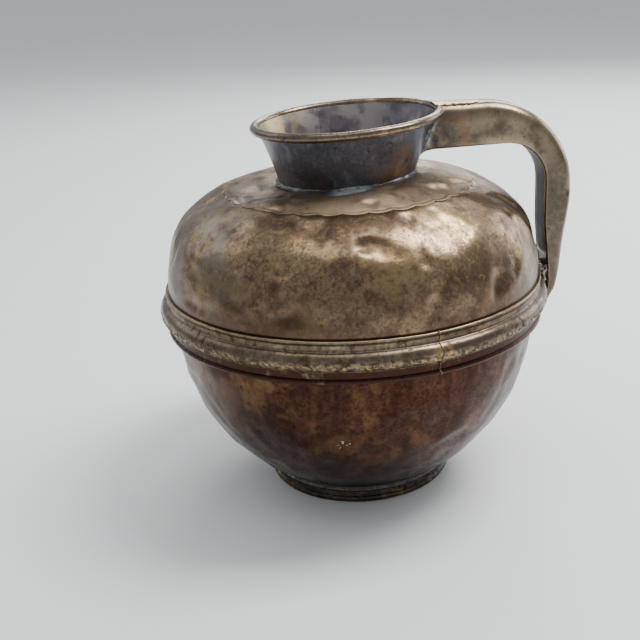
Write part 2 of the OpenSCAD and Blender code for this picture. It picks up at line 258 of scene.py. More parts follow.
def endTree(tree, geometry, material):
    real = addNode(tree, "GeometryNodeRealizeInstances", {}, {"Geometry": geometry})
    painted = addNode(tree, "GeometryNodeSetMaterial", {}, {"Geometry": real, "Material": material})
    addNode(tree, "NodeGroupOutput", {}, {"Geometry": painted})
    return tree


def applyTree(piece, tree, values):
    modifier = piece.modifiers.new(tree.name, "NODES")
    modifier.node_group = tree
    for socket in tree.interface.items_tree:
        if socket.item_type == "SOCKET" and socket.in_out == "INPUT" and socket.name in values:
            modifier[socket.identifier] = values[socket.name]
    graph = bpy.context.evaluated_depsgraph_get()
    made = bpy.data.meshes.new_from_object(
        piece.evaluated_get(graph), preserve_all_data_layers=True, depsgraph=graph)
    piece.modifiers.remove(modifier)
    made.name = piece.name
    piece.data = made
    return piece


def hammeredSheetTree():
    # planished sheet: broad swells, flat facets, small knocks, two larger dents, and a leaning centre
    tree, given = newTree("hammeredSheet", {
        "Centre Height": 0.1, "Swell Size": 0.05, "Swell Depth": 0.0005, "Facet Size": 0.016,
        "Facet Depth": 0.0003, "Knock Size": 0.014, "Knock Depth": 0.0, "Low Edge": -1.0,
        "High Edge": 1.0, "Core Radius": 0.0, "Fade Width": 0.008,
        "Dent Place": (0.0, 0.0, -1.0), "Dent Radius": 0.02, "Dent Depth": 0.0,
        "Second Place": (0.0, 0.0, -1.0), "Second Radius": 0.02, "Second Depth": 0.0,
        "Lean": 0.0, "Lean Inner": 0.04, "Lean Outer": 0.07, "Seed": 1.0, "Material": None})
    seed = given["Seed"]
    place = addNode(tree, "GeometryNodeInputPosition").outputs["Position"]
    split = addNode(tree, "ShaderNodeSeparateXYZ", {}, {"Vector": place}).outputs
    flat = addNode(tree, "ShaderNodeCombineXYZ", {}, {"X": split["X"], "Y": split["Y"]})
    radius = addNode(tree, "ShaderNodeVectorMath", {"operation": "LENGTH"}, {0: flat}).outputs["Value"]
    centre = addNode(tree, "ShaderNodeCombineXYZ", {}, {"Z": given["Centre Height"]})
    away = addNode(tree, "ShaderNodeVectorMath", {"operation": "SUBTRACT"}, {0: place, 1: centre})
    outward = addNode(tree, "ShaderNodeVectorMath", {"operation": "NORMALIZE"}, {0: away})

    swell = sizedSwing(tree, place, given["Swell Size"], seed, 1.5, given["Swell Depth"])
    facetScale = maths(tree, "DIVIDE", 1.0, given["Facet Size"])
    cells = addNode(tree, "ShaderNodeTexVoronoi",
                    {"voronoi_dimensions": "4D", "feature": "SMOOTH_F1", "Smoothness": 0.35},
                    {"Vector": place, "W": seed, "Scale": facetScale}).outputs["Distance"]
    facet = maths(tree, "MULTIPLY_ADD", maths(tree, "MULTIPLY", cells, cells), 3.0, -0.5)
    facet = maths(tree, "MULTIPLY", facet, given["Facet Depth"])
    knock = addNode(tree, "ShaderNodeMapRange",
                    {"interpolation_type": "SMOOTHSTEP", "From Min": 0.51, "From Max": 0.80},
                    {"Value": sizedNoise(tree, place, given["Knock Size"], seed, 0.6)})
    knock = maths(tree, "MULTIPLY", knock, given["Knock Depth"])

    level = maths(tree, "SUBTRACT", maths(tree, "ADD", swell, facet), knock)
    aboveLow = maths(tree, "SUBTRACT", split["Z"], given["Low Edge"])
    belowHigh = maths(tree, "SUBTRACT", given["High Edge"], split["Z"])
    offCore = maths(tree, "SUBTRACT", radius, given["Core Radius"])
    for distance in (aboveLow, belowHigh, offCore):
        share = maths(tree, "DIVIDE", distance, given["Fade Width"], limited=True)
        level = maths(tree, "MULTIPLY", level, share)
    for word in ("Dent", "Second"):
        reach = addNode(tree, "ShaderNodeVectorMath", {"operation": "DISTANCE"},
                        {0: place, 1: given[word + " Place"]}).outputs["Value"]
        depth = maths(tree, "MULTIPLY", given[word + " Depth"], -1.0)
        dent = addNode(tree, "ShaderNodeMapRange", {"interpolation_type": "SMOOTHSTEP", "To Max": 0.0},
                       {"Value": reach, "From Max": given[word + " Radius"], "To Min": depth})
        level = maths(tree, "ADD", level, dent)

    shift = addNode(tree, "ShaderNodeVectorMath", {"operation": "SCALE"}, {0: outward, "Scale": level})
    near = addNode(tree, "ShaderNodeMapRange",
                   {"interpolation_type": "SMOOTHSTEP", "To Min": 1.0, "To Max": 0.0},
                   {"Value": radius, "From Min": given["Lean Inner"], "From Max": given["Lean Outer"]})
    rise = maths(tree, "MULTIPLY", maths(tree, "MULTIPLY", split["X"], given["Lean"]), near)
    lift = addNode(tree, "ShaderNodeCombineXYZ", {}, {"Z": rise})
    offset = addNode(tree, "ShaderNodeVectorMath", {"operation": "ADD"}, {0: shift, 1: lift})
    moved = addNode(tree, "GeometryNodeSetPosition", {}, {"Geometry": given["Geometry"], "Offset": offset})
    return endTree(tree, moved, given["Material"])


def turnedRingTree():
    # a closed wall section carried round the axis, with a slow wobble, a fine waver and pits in one band
    tree, given = newTree("turnedRing", {
        "Steps": 360, "Section Steps": 80, "Wobble": 0.0002, "Wobble Size": 0.03, "Waver": 0.0001,
        "Waver Size": 0.004, "Pit Depth": 0.0, "Pit Size": 0.002, "Pit Low": -1.0, "Pit High": 1.0,
        "Tilt": 0.0, "Shift": 0.0, "Level": 0.0, "Seed": 1.0, "Material": None})
    section = addNode(tree, "GeometryNodeMeshToCurve", {}, {"Mesh": given["Geometry"]})
    columns = maths(tree, "ADD", given["Steps"], 1.0)
    rows = maths(tree, "ADD", given["Section Steps"], 1.0)
    grid = addNode(tree, "GeometryNodeMeshGrid", {"Size X": 1.0, "Size Y": 1.0},
                   {"Vertices X": columns, "Vertices Y": rows})
    flatPlace = addNode(tree, "GeometryNodeInputPosition")
    flat = addNode(tree, "ShaderNodeSeparateXYZ", {}, {"Vector": flatPlace}).outputs
    turn = maths(tree, "MULTIPLY_ADD", flat["X"], fullTurn, math.pi)
    along = maths(tree, "ADD", flat["Y"], 0.5, limited=True)
    point = addNode(tree, "GeometryNodeSampleCurve", {"mode": "FACTOR"},
                    {"Curves": section, "Factor": along})
    at = addNode(tree, "ShaderNodeSeparateXYZ", {}, {"Vector": point.outputs["Position"]}).outputs
    x = maths(tree, "MULTIPLY", at["X"], maths(tree, "COSINE", turn))
    y = maths(tree, "MULTIPLY", at["X"], maths(tree, "SINE", turn))
    spot = addNode(tree, "ShaderNodeCombineXYZ", {}, {"X": x, "Y": y, "Z": at["Z"]})
    ring = addNode(tree, "GeometryNodeSetPosition", {}, {"Geometry": grid.outputs[0], "Position": spot})
    whole = addNode(tree, "GeometryNodeMergeByDistance", {"Distance": 0.001 * mm}, {"Geometry": ring})

    seed = given["Seed"]
    place = addNode(tree, "GeometryNodeInputPosition").outputs["Position"]
    normal = addNode(tree, "GeometryNodeInputNormal").outputs["Normal"]
    height = addNode(tree, "ShaderNodeSeparateXYZ", {}, {"Vector": place}).outputs["Z"]
    wobble = sizedSwing(tree, place, given["Wobble Size"], seed, 0.5, given["Wobble"])
    waver = sizedSwing(tree, place, given["Waver Size"], seed, 2.0, given["Waver"])
    pit = addNode(tree, "ShaderNodeMapRange",
                  {"interpolation_type": "SMOOTHSTEP", "From Min": 0.46, "From Max": 0.58},
                  {"Value": sizedNoise(tree, place, given["Pit Size"], seed, 3.0, 0.6)}).outputs[0]
    over = maths(tree, "SUBTRACT", height, given["Pit Low"])
    under = maths(tree, "SUBTRACT", given["Pit High"], height)
    for distance in (over, under):
        # pits are full 1.4 mm in from the ends of their band
        share = maths(tree, "MULTIPLY", distance, 700.0, limited=True)
        pit = maths(tree, "MULTIPLY", pit, share)
    sunk = maths(tree, "MULTIPLY", pit, given["Pit Depth"])
    raised = maths(tree, "SUBTRACT", maths(tree, "ADD", wobble, waver), sunk)
    shift = addNode(tree, "ShaderNodeVectorMath", {"operation": "SCALE"}, {0: normal, "Scale": raised})
    marked = addNode(tree, "GeometryNodeStoreNamedAttribute",
                     {"data_type": "FLOAT", "domain": "POINT", "Name": "pitted"},
                     {"Geometry": whole, "Value": pit})
    moved = addNode(tree, "GeometryNodeSetPosition", {}, {"Geometry": marked, "Offset": shift})
    tilt = addNode(tree, "ShaderNodeCombineXYZ", {}, {"Y": maths(tree, "MULTIPLY", given["Tilt"], -1.0)})
    origin = addNode(tree, "ShaderNodeCombineXYZ", {}, {"X": given["Shift"], "Z": given["Level"]})
    placed = addNode(tree, "GeometryNodeTransform", {},
                     {"Geometry": moved, "Rotation": tilt, "Translation": origin})
    return endTree(tree, placed, given["Material"])


def lumpyBeadTree():
    # a bead of braze or solder run along a path, thick and thin as it flowed
    tree, given = newTree("lumpyBead", {
        "Radius": 0.001, "Step": 0.0006, "Swing": 0.4, "Swing Size": 0.004, "Roughness": 0.0002,
        "Grain": 0.0015, "Sides": 10, "Seed": 1.0, "Material": None})
    path = addNode(tree, "GeometryNodeMeshToCurve", {}, {"Mesh": given["Geometry"]})
    even = addNode(tree, "GeometryNodeResampleCurve", {"mode": "LENGTH"},
                   {"Curve": path, "Length": given["Step"]})
    place = addNode(tree, "GeometryNodeInputPosition").outputs["Position"]
    swing = maths(tree, "SUBTRACT", sizedNoise(tree, place, given["Swing Size"], given["Seed"], 2.0), 0.5)
    ratio = maths(tree, "MULTIPLY_ADD", swing, given["Swing"], 1.0)
    thick = maths(tree, "MULTIPLY", ratio, given["Radius"])
    sized = addNode(tree, "GeometryNodeSetCurveRadius", {}, {"Curve": even, "Radius": thick})
    ring = addNode(tree, "GeometryNodeCurvePrimitiveCircle", {"Radius": 1.0},
                   {"Resolution": given["Sides"]})
    tube = addNode(tree, "GeometryNodeCurveToMesh", {"Fill Caps": True},
                   {"Curve": sized, "Profile Curve": ring, "Scale": thick})
    height = sizedSwing(tree, place, given["Grain"], given["Seed"], 1.0, given["Roughness"])
    normal = addNode(tree, "GeometryNodeInputNormal").outputs["Normal"]
    shift = addNode(tree, "ShaderNodeVectorMath", {"operation": "SCALE"}, {0: normal, "Scale": height})
    moved = addNode(tree, "GeometryNodeSetPosition", {}, {"Geometry": tube, "Offset": shift})
    return endTree(tree, moved, given["Material"])


def solderLumpsTree():
    # drops of solder that ran together, scattered over the faces of a former
    tree, given = newTree("solderLumps", {
        "Density": 90000.0, "Drop Radius": 0.0016, "Spread": 0.5, "Grid": 0.00045, "Seed": 3,
        "Material": None})
    drops = addNode(tree, "GeometryNodeDistributePointsOnFaces", {},
                    {"Mesh": given["Geometry"], "Density": given["Density"], "Seed": given["Seed"]})
    least = maths(tree, "SUBTRACT", 1.0, given["Spread"])
    ratio = addNode(tree, "FunctionNodeRandomValue", {"data_type": "FLOAT", 3: 1.3},
                    {2: least, "Seed": given["Seed"]}).outputs[1]
    size = maths(tree, "MULTIPLY", ratio, given["Drop Radius"])
    mass = addNode(tree, "GeometryNodePointsToVolume", {"resolution_mode": "VOXEL_SIZE"},
                   {"Points": drops, "Voxel Size": given["Grid"], "Radius": size})
    skin = addNode(tree, "GeometryNodeVolumeToMesh", {"resolution_mode": "GRID", "Threshold": 0.2},
                   {"Volume": mass})
    return endTree(tree, skin, given["Material"])


def coat(pattern, low, high, share, colour, rough, **more):
    # pattern is the size of a cloud, "edge" for bends and corners, or the name of a mark on the mesh;
    # the coat starts where the pattern reaches low and shows its full share at high,
    # and on an edge with high below low it lies in the hollows
    return dict(more, pattern=pattern, low=low, high=high, share=share, colour=colour, rough=rough)


def coatShare(tree, layer, seed, place):
    # how much of a coat shows at each point; on, near and band keep it to a mark, a place or a height
    if layer["pattern"] == "edge":
        source = addNode(tree, "ShaderNodeNewGeometry").outputs["Pointiness"]
    elif isinstance(layer["pattern"], str):
        source = addNode(tree, "ShaderNodeAttribute", {"attribute_name": layer["pattern"]}).outputs["Fac"]
    else:
        stretch = layer.get("stretch", (1, 1, 1))
        laid = addNode(tree, "ShaderNodeMapping", {"Scale": stretch}, {"Vector": place})
        source = addNode(tree, "ShaderNodeTexNoise", {
            "noise_dimensions": "4D", "W": seed, "Scale": 1 / layer["pattern"], "Roughness": 0.55,
            "Detail": layer.get("detail", 3.0), "Distortion": layer.get("swirl", 0.3)},
            {"Vector": laid}).outputs[0]
    low, high = layer["low"], layer["high"]
    shares = (0.0, layer["share"]) if low < high else (layer["share"], 0.0)
    share = addNode(tree, "ShaderNodeMapRange", {
        "interpolation_type": "SMOOTHSTEP", "From Min": min(low, high), "From Max": max(low, high),
        "To Min": shares[0], "To Max": shares[1]}, {"Value": source}).outputs[0]
    if "on" in layer:
        marked = addNode(tree, "ShaderNodeAttribute", {"attribute_name": layer["on"]}).outputs["Fac"]
        share = maths(tree, "MULTIPLY", share, marked)
    if "near" in layer:
        middle, reach = layer["near"]
        away = addNode(tree, "ShaderNodeVectorMath", {"operation": "DISTANCE", 1: middle}, {0: place})
        limit = addNode(tree, "ShaderNodeMapRange", {
            "interpolation_type": "SMOOTHSTEP", "From Min": reach * 0.4, "From Max": reach,
            "To Min": 1.0, "To Max": 0.0}, {"Value": away.outputs["Value"]})
        share = maths(tree, "MULTIPLY", share, limit)
    if "band" in layer:
        height = addNode(tree, "ShaderNodeSeparateXYZ", {}, {"Vector": place}).outputs["Z"]
        bottom, top, soft = layer["band"]
        for start, sign in ((bottom, 1.0), (top, -1.0)):
            inBand = addNode(tree, "ShaderNodeMapRange", {
                "From Min": start - soft / 2, "From Max": start + soft / 2,
                "To Min": 0.5 - sign / 2, "To Max": 0.5 + sign / 2}, {"Value": height})
            share = maths(tree, "MULTIPLY", share, inBand)
    return share


def metalFinish(name, finish):
    # coats of tarnish, rub, dirt, painted light and painted shade over a grained and mottled base metal
    material = bpy.data.materials.new(name)
    material.use_nodes = True
    tree = material.node_tree
    tree.nodes.clear()
    place = addNode(tree, "ShaderNodeTexCoord").outputs["Object"]
    grain = addNode(tree, "ShaderNodeTexNoise",
                    {"Scale": 1 / finish["grain"], "Detail": 5.0, "Roughness": 0.62}, {"Vector": place})
    mottle = addNode(tree, "ShaderNodeMapRange", {"From Min": 0.36, "From Max": 0.64}, {"Value": grain})
    base, second = toLinear(finish["base"]), toLinear(finish["second"])
    colour = addNode(tree, "ShaderNodeMix", {"data_type": "RGBA", 6: base, 7: second},
                     {0: mottle}).outputs[2]
    smoother, rougher = finish["rough"] - 0.06, finish["rough"] + 0.08
    rough = addNode(tree, "ShaderNodeMapRange", {"To Min": smoother, "To Max": rougher},
                    {"Value": grain}).outputs[0]
    relief = maths(tree, "MULTIPLY", grain, finish["grainDepth"])
    metal = None
    for order, layer in enumerate(finish["layers"]):
        share = coatShare(tree, layer, 3.7 * order + finish["seed"], place)
        colour = addNode(tree, "ShaderNodeMix", {"data_type": "RGBA", 7: toLinear(layer["colour"])},
                         {0: share, 6: colour}).outputs[2]
        rough = addNode(tree, "ShaderNodeMix", {"data_type": "FLOAT", 3: layer["rough"]},
                        {0: share, 2: rough}).outputs[0]
        if "metal" in layer:
            metal = addNode(tree, "ShaderNodeMix", {"data_type": "FLOAT", 2: 1.0, 3: layer["metal"]},
                            {0: share, 2: metal} if metal else {0: share}).outputs[0]
        if "depth" in layer:
            relief = maths(tree, "MULTIPLY_ADD", share, layer["depth"], relief)
    bump = addNode(tree, "ShaderNodeBump", {"Strength": 1.0, "Distance": 1.0}, {"Height": relief})
    links = {"Base Color": colour, "Roughness": rough, "Normal": bump.outputs["Normal"]}
    if metal:
        links["Metallic"] = metal
    skin = addNode(tree, "ShaderNodeBsdfPrincipled", {"Metallic": 1.0}, links)
    addNode(tree, "ShaderNodeOutputMaterial", {}, {"Surface": skin.outputs["BSDF"]})
    return material


# places the finishes are worked round
spots = {
    "rootOut": 9 * mm, "rootDrop": 22 * mm,       # handle's root, from the neck's foot and the rim
    "gripInset": 34 * mm,                         # where the hand rubs, in from the handle's outer face
    "jointBearing": -75, "jointRise": 6 * mm,     # degrees round the hoop, and above the widest circle
    "smearSide": 4 * mm, "smearOut": 6 * mm,      # solder run out in front of the neck
    "smearRise": 2 * mm,
}
handleRootPlace = (neck["footRadius"] + spots["rootOut"], 0, neckHigh.z - spots["rootDrop"])
gripPlace = (handleHigh.x - spots["gripInset"], 0, handleHigh.z)
jointTurn = math.radians(spots["jointBearing"])
jointPlace = (hoopHigh.x * math.cos(jointTurn), hoopHigh.x * math.sin(jointTurn),
              girdleHeight + spots["jointRise"])
frontSolderPlace = (-spots["smearSide"], -neck["footRadius"] - spots["smearOut"],
                    neckLow.z + spots["smearRise"])

# raised sheet brass, once polished, then left to tarnish: brown skin, purple-brown spots, gold rubs
shoulderLook = {
    "base": "#a28a6c", "second": "#745f4e", "rough": 0.28,
    "grain": 1.7 * mm, "grainDepth": 0.05 * mm, "seed": 1.0,
    "layers": [
        coat(50 * mm, 0.44, 0.60, 0.65, "#5c4a3b", 0.36),
        coat(24 * mm, 0.50, 0.66, 0.5, "#a98e62", 0.26, detail=6.0),
        coat(14 * mm, 0.50, 0.64, 0.7, "#503c38", 0.38, detail=4.0, depth=-0.05 * mm),
        coat(6 * mm, 0.53, 0.66, 0.65, "#4c3a33", 0.46, detail=5.0, depth=-0.06 * mm),
        coat(1.8 * mm, 0.58, 0.68, 0.6, "#382a24", 0.5, depth=-0.04 * mm),
        coat(7 * mm, 0.54, 0.68, 0.4, "#b7a386", 0.26, detail=7.0),
        coat(2.4 * mm, 0.54, 0.68, 0.3, "#b8935a", 0.26, detail=5.0),
        # greyer patch on the dome's left flank: painted reflection of the pale surroundings seen at that
        # edge
        coat(16 * mm, 0.40, 0.60, 0.55, "#8c887f", 0.34, detail=6.0,
             near=((-104 * mm, -40 * mm, 156 * mm), 72 * mm)),
        coat(9 * mm, 0.60, 0.64, 0.65, "#cfa650", 0.24, swirl=2.2, detail=8.0,
             near=((62 * mm, -80 * mm, 156 * mm), 46 * mm)),
        # darker band on the dome's lower part just above the hoop: painted shade where the sheet faces
        # sideways
        coat(26 * mm, 0.20, 0.50, 0.75, "#4a3830", 0.34, detail=5.0,
             band=(hoopHigh.z - 20 * mm, hoopHigh.z + 20 * mm, 30 * mm)),
        # dark line on the dome along the hoop's top edge: painted shadow in the gap between dome and hoop
        coat(8 * mm, 0.15, 0.40, 0.85, "#221913", 0.6,
             band=(hoopHigh.z - 3 * mm, hoopHigh.z + 0.9 * mm, 0.8 * mm)),
        coat("edge", 0.53, 0.60, 0.6, "#c9ab70", 0.25),
        coat("edge", 0.47, 0.40, 0.8, "#2f251c", 0.6),
        coat("inside", 0.2, 0.8, 0.9, "#5c4f4a", 0.5),
    ],
}
# the same sheet round the neck, scoured duller and browner, smeared with solder in front
collarLook = dict(shoulderLook, seed=4.0, base="#a48d74", second="#7d6a5a", rough=0.45)
collarLook["layers"] = [
    coat(34 * mm, 0.42, 0.62, 0.55, "#806c5a", 0.46, detail=5.0),
    coat(13 * mm, 0.50, 0.64, 0.6, "#614d42", 0.46, detail=6.0, depth=-0.05 * mm),
    coat(5 * mm, 0.54, 0.66, 0.55, "#4d3d34", 0.50, detail=5.0, depth=-0.05 * mm),
    coat(8 * mm, 0.55, 0.65, 0.5, "#bba88e", 0.30, detail=7.0),
    # paler, rougher patch on the collar in front of the neck: painted light where the sheet would reflect
    # the dark neck
    coat(12 * mm, 0.25, 0.55, 0.6, "#bda387", 0.6, detail=6.0, near=((0, -62 * mm, neckLow.z), 40 * mm)),
    coat(7 * mm, 0.36, 0.50, 0.6, "#9c9f9f", 0.5, near=(frontSolderPlace, 14 * mm)),
    coat(8 * mm, 0.42, 0.60, 0.5, "#9c958d", 0.5, near=((0, 0, neckLow.z), 56 * mm)),
    coat(11 * mm, 0.40, 0.60, 0.6, "#a3a29b", 0.38, detail=6.0,
         near=((-54 * mm, -16 * mm, neckLow.z), 27 * mm)),
    # dark streaks at the left of the neck: painted shade of creases that the mesh doesn't have
    coat(6 * mm, 0.50, 0.62, 0.8, "#51463f", 0.5, detail=6.0, stretch=(0.5, 1.4, 1),
         near=((-56 * mm, -22 * mm, neckLow.z), 30 * mm)),
] + shoulderLook["layers"][-3:]
# planished bowl with a dark red-brown skin, partly tarnish and partly painted dark as a reflection of a
# dark red ground, satin to half gloss
bowlLook = {
    "base": "#4f3328", "second": "#33211b", "rough": 0.26,
    "grain": 2 * mm, "grainDepth": 0.05 * mm, "seed": 2.0,
    "layers": [
        coat(46 * mm, 0.42, 0.62, 0.6, "#3a231c", 0.33),
        coat(22 * mm, 0.50, 0.66, 0.55, "#6a4b36", 0.27, detail=6.0),
        coat(12 * mm, 0.52, 0.66, 0.55, "#6d5838", 0.3, detail=7.0,
             near=((-50 * mm, -80 * mm, 80 * mm), 75 * mm)),
        coat(8 * mm, 0.52, 0.66, 0.65, "#281814", 0.42, detail=5.0, depth=-0.05 * mm),
        coat(3 * mm, 0.60, 0.68, 0.6, "#180f0c", 0.5, depth=-0.04 * mm),
        # black band on the bowl just under the hoop: painted shadow below the hoop's lower edge
        coat(8 * mm, 0.15, 0.40, 0.8, "#150d0a", 0.6,
             band=(hoopLow.z - 0.9 * mm, hoopLow.z + 4 * mm, 0.8 * mm)),
        # paler patch on the bowl's left flank: painted reflection of the pale surroundings
        coat(26 * mm, 0.35, 0.55, 0.5, "#75604e", 0.3, detail=6.0,
             near=((-98 * mm, -42 * mm, 86 * mm), 50 * mm)),
        coat(9 * mm, 0.54, 0.68, 0.3, "#705539", 0.3, stretch=(1, 1, 0.4), detail=7.0),
        coat(11 * mm, 0.50, 0.64, 0.55, "#281713", 0.36, stretch=(1, 1, 0.3), detail=6.0),
        coat(1.5 * mm, 0.61, 0.63, 0.9, "#d9d2c8", 0.5, detail=1.0,
             near=((-22 * mm, -98 * mm, 64 * mm), 5.5 * mm)),
        coat("inside", 0.2, 0.8, 0.9, "#4c4340", 0.55),
    ],
}
# strip and half-round moulding, worn yellow under the bead, greyed on it, pitted black across it
hoopLook = {
    "base": "#8f7f68", "second": "#594d42", "rough": 0.31,
    "grain": 2.4 * mm, "grainDepth": 0.06 * mm, "seed": 3.0,
    "layers": [
        coat(24 * mm, 0.42, 0.62, 0.6, "#544536", 0.40, detail=5.0),
        coat(9 * mm, 0.54, 0.66, 0.5, "#b59b6c", 0.28, detail=6.0),
        coat(13 * mm, 0.30, 0.55, 0.65, "#584a41", 0.34, detail=6.0,
             near=((84 * mm, -84 * mm, girdleHeight + 12 * mm), 92 * mm)),
        coat(10 * mm, 0.20, 0.50, 0.4, "#6b6054", 0.2,
             band=(girdleHeight + 6 * mm, girdleHeight + 14 * mm, 2 * mm)),
        coat(5 * mm, 0.52, 0.64, 0.7, "#3c2f27", 0.5, detail=5.0, depth=-0.08 * mm),
        coat(8 * mm, 0.20, 0.45, 0.95, "#38231e", 0.38,
             band=(hoopLow.z - 3 * mm, girdleHeight + 1.6 * mm, 1.5 * mm)),
        coat(3 * mm, 0.50, 0.60, 0.6, "#b99b62", 0.3, detail=5.0,
             band=(girdleHeight + 1.5 * mm, girdleHeight + 6.5 * mm, 1.5 * mm)),
        coat(3.5 * mm, 0.42, 0.58, 0.7, "#c4a174", 0.3, detail=5.0, near=(jointPlace, 9 * mm)),
        coat("pitted", 0.2, 0.9, 0.75, "#2a1f18", 0.55, metal=0.8),
        # pale band along the hoop's upper edge: painted highlight where the edge faces up
        coat(6 * mm, 0.2, 0.5, 0.4, "#b9a380", 0.26,
             band=(hoopHigh.z - 0.7 * mm, hoopHigh.z + 2 * mm, 0.3 * mm)),
        # dark band just under the hoop's lip: painted shade below the lip
        coat(6 * mm, 0.2, 0.45, 0.75, "#2b211a", 0.5,
             band=(hoopHigh.z - 2.8 * mm, hoopHigh.z - 1.8 * mm, 0.6 * mm)),
        coat("edge", 0.525, 0.60, 0.7, "#cdb383", 0.24),
        coat("edge", 0.475, 0.41, 0.92, "#1d1510", 0.65, metal=0.7),
    ],
}
# sheet brass blued by the torch: blue-black flank, brown-orange where it cooled slower, purple-grey inside
neckLook = {
    "base": "#6d6f78", "second": "#565965", "rough": 0.36,
    "grain": 1.6 * mm, "grainDepth": 0.03 * mm, "seed": 5.0,
    "layers": [
        coat(28 * mm, 0.42, 0.62, 0.55, "#484a55", 0.38),
        coat(20 * mm, 0.50, 0.68, 0.5, "#7a6857", 0.36, detail=5.0),
        coat(8 * mm, 0.56, 0.70, 0.5, "#8b888c", 0.3, detail=5.0),
        coat(5 * mm, 0.54, 0.68, 0.4, "#9a9798", 0.3, detail=6.0, stretch=(1, 1, 0.3)),
        coat(11 * mm, 0.36, 0.56, 0.75, "#24252f", 0.4, near=(handleRootPlace, 42 * mm)),
        coat(12 * mm, 0.40, 0.56, 0.55, "#836a4c", 0.36,
             near=((26 * mm, -36 * mm, neckLow.z + 8 * mm), 20 * mm)),
        coat(2.6 * mm, 0.62, 0.70, 0.7, "#1d1a19", 0.55, depth=-0.04 * mm),
        coat("inside", 0.2, 0.8, 0.8, "#a49997", 0.36),
        coat(20 * mm, 0.44, 0.60, 0.75, "#5d5560", 0.36, on="inside", detail=5.0),
        coat(9 * mm, 0.52, 0.66, 0.6, "#4a3f42", 0.42, on="inside", detail=5.0),
        coat(14 * mm, 0.40, 0.56, 0.75, "#b7a27c", 0.34, on="inside",
             near=((-42 * mm, 30 * mm, neckHigh.z - 8 * mm), 34 * mm)),
        coat(16 * mm, 0.36, 0.56, 0.7, "#4b4f5c", 0.4, on="inside",
             near=((48 * mm, 12 * mm, neckHigh.z - 14 * mm), 46 * mm)),
    ],
}
# rolled edge kept bright by hands and cloths
rimLook = {
    "base": "#8c7a66", "second": "#65584c", "rough": 0.22,
    "grain": 1.6 * mm, "grainDepth": 0.03 * mm, "seed": 6.0,
    "layers": [
        coat(18 * mm, 0.44, 0.62, 0.7, "#5f5450", 0.32, detail=5.0),
        coat(9 * mm, 0.54, 0.66, 0.5, "#bfa688", 0.2, detail=5.0),
        coat(2.8 * mm, 0.60, 0.68, 0.7, "#3f3430", 0.5, depth=-0.04 * mm),
    ],
}
# folded sheet brass, olive-brown where the hand doesn't reach, rubbed bright along its corners
handleLook = {
    "base": "#776a5b", "second": "#61564b", "rough": 0.26,
    "grain": 3 * mm, "grainDepth": 0.03 * mm, "seed": 7.0,
    "layers": [
        coat(44 * mm, 0.42, 0.62, 0.6, "#50463e", 0.34),
        coat(15 * mm, 0.52, 0.68, 0.2, "#4b4039", 0.34, detail=6.0),
        coat(12 * mm, 0.36, 0.60, 0.5, "#a8967a", 0.24, detail=6.0,
             near=(gripPlace, 62 * mm)),
        coat(15 * mm, 0.48, 0.64, 0.6, "#845c38", 0.32, near=(handleRootPlace, 44 * mm)),
        coat(7 * mm, 0.34, 0.50, 0.75, "#2e2f39", 0.36, near=(handleRootPlace, 26 * mm)),
        coat(1.8 * mm, 0.60, 0.70, 0.5, "#3a2f24", 0.5, depth=-0.03 * mm),
        coat("edge", 0.51, 0.56, 0.7, "#cdb98f", 0.2),
        coat("edge", 0.48, 0.42, 0.8, "#2c231a", 0.55),
    ],
}
# the tab and the strip take fewer of those coats; the tab's pale base is partly wear and partly a painted
# reflection of the bright sky on its upper face, the strip's black base is painted shade
tabLook = dict(handleLook, seed=8.0, base="#c9b794", second="#b09d7e", rough=0.27)
tabLook["layers"] = handleLook["layers"][5:]
stripLook = dict(handleLook, seed=9.0, base="#1d1b1b", second="#141314", rough=0.5)
stripLook["layers"] = handleLook["layers"][4:]
# foot strip, dark all over, brassy only along its edges
footLook = {
    "base": "#544940", "second": "#3f3733", "rough": 0.34,
    "grain": 1.8 * mm, "grainDepth": 0.04 * mm, "seed": 10.0,
    "layers": [
        coat(15 * mm, 0.44, 0.62, 0.7, "#302c31", 0.40),
        coat(7 * mm, 0.55, 0.68, 0.5, "#80704f", 0.3),
        coat(2.6 * mm, 0.58, 0.68, 0.8, "#1a1614", 0.6, depth=-0.05 * mm),
        coat("edge", 0.52, 0.60, 0.6, "#9c8961", 0.28),
    ],
}
# tin-lead solder, dull blue-grey with whiter oxide
solderLook = {
    "base": "#7f8182", "second": "#5b5d5e", "rough": 0.46,
    "grain": 1.2 * mm, "grainDepth": 0.05 * mm, "seed": 11.0,
    "layers": [
        coat(9 * mm, 0.44, 0.62, 0.6, "#55524f", 0.5, metal=0.7),
        coat(5 * mm, 0.54, 0.66, 0.6, "#a5a8a8", 0.38),
        coat(6 * mm, 0.30, 0.48, 0.95, "#b0b7b8", 0.5, metal=0.1, near=(frontSolderPlace, 17 * mm)),
        coat(2 * mm, 0.60, 0.68, 0.8, "#332f2d", 0.6, depth=-0.06 * mm),
    ],
}
# the same solder left in pale, chalky lumps where it was dabbed on cold
chalkyLook = dict(solderLook, seed=14.0, base="#c2b5ab", second="#a3968d", rough=0.5)
# brazing spelter, yellower than the sheet, dulled with brown flux stain
brazeLook = {
    "base": "#9c8566", "second": "#75624e", "rough": 0.34,
    "grain": 1.2 * mm, "grainDepth": 0.03 * mm, "seed": 12.0,
    "layers": [
        coat(10 * mm, 0.40, 0.60, 0.75, "#5f4c3a", 0.42),
        coat(5 * mm, 0.56, 0.68, 0.6, "#cdb483", 0.26),
        coat(1.8 * mm, 0.62, 0.68, 0.7, "#35281c", 0.6, depth=-0.04 * mm),
    ],
}

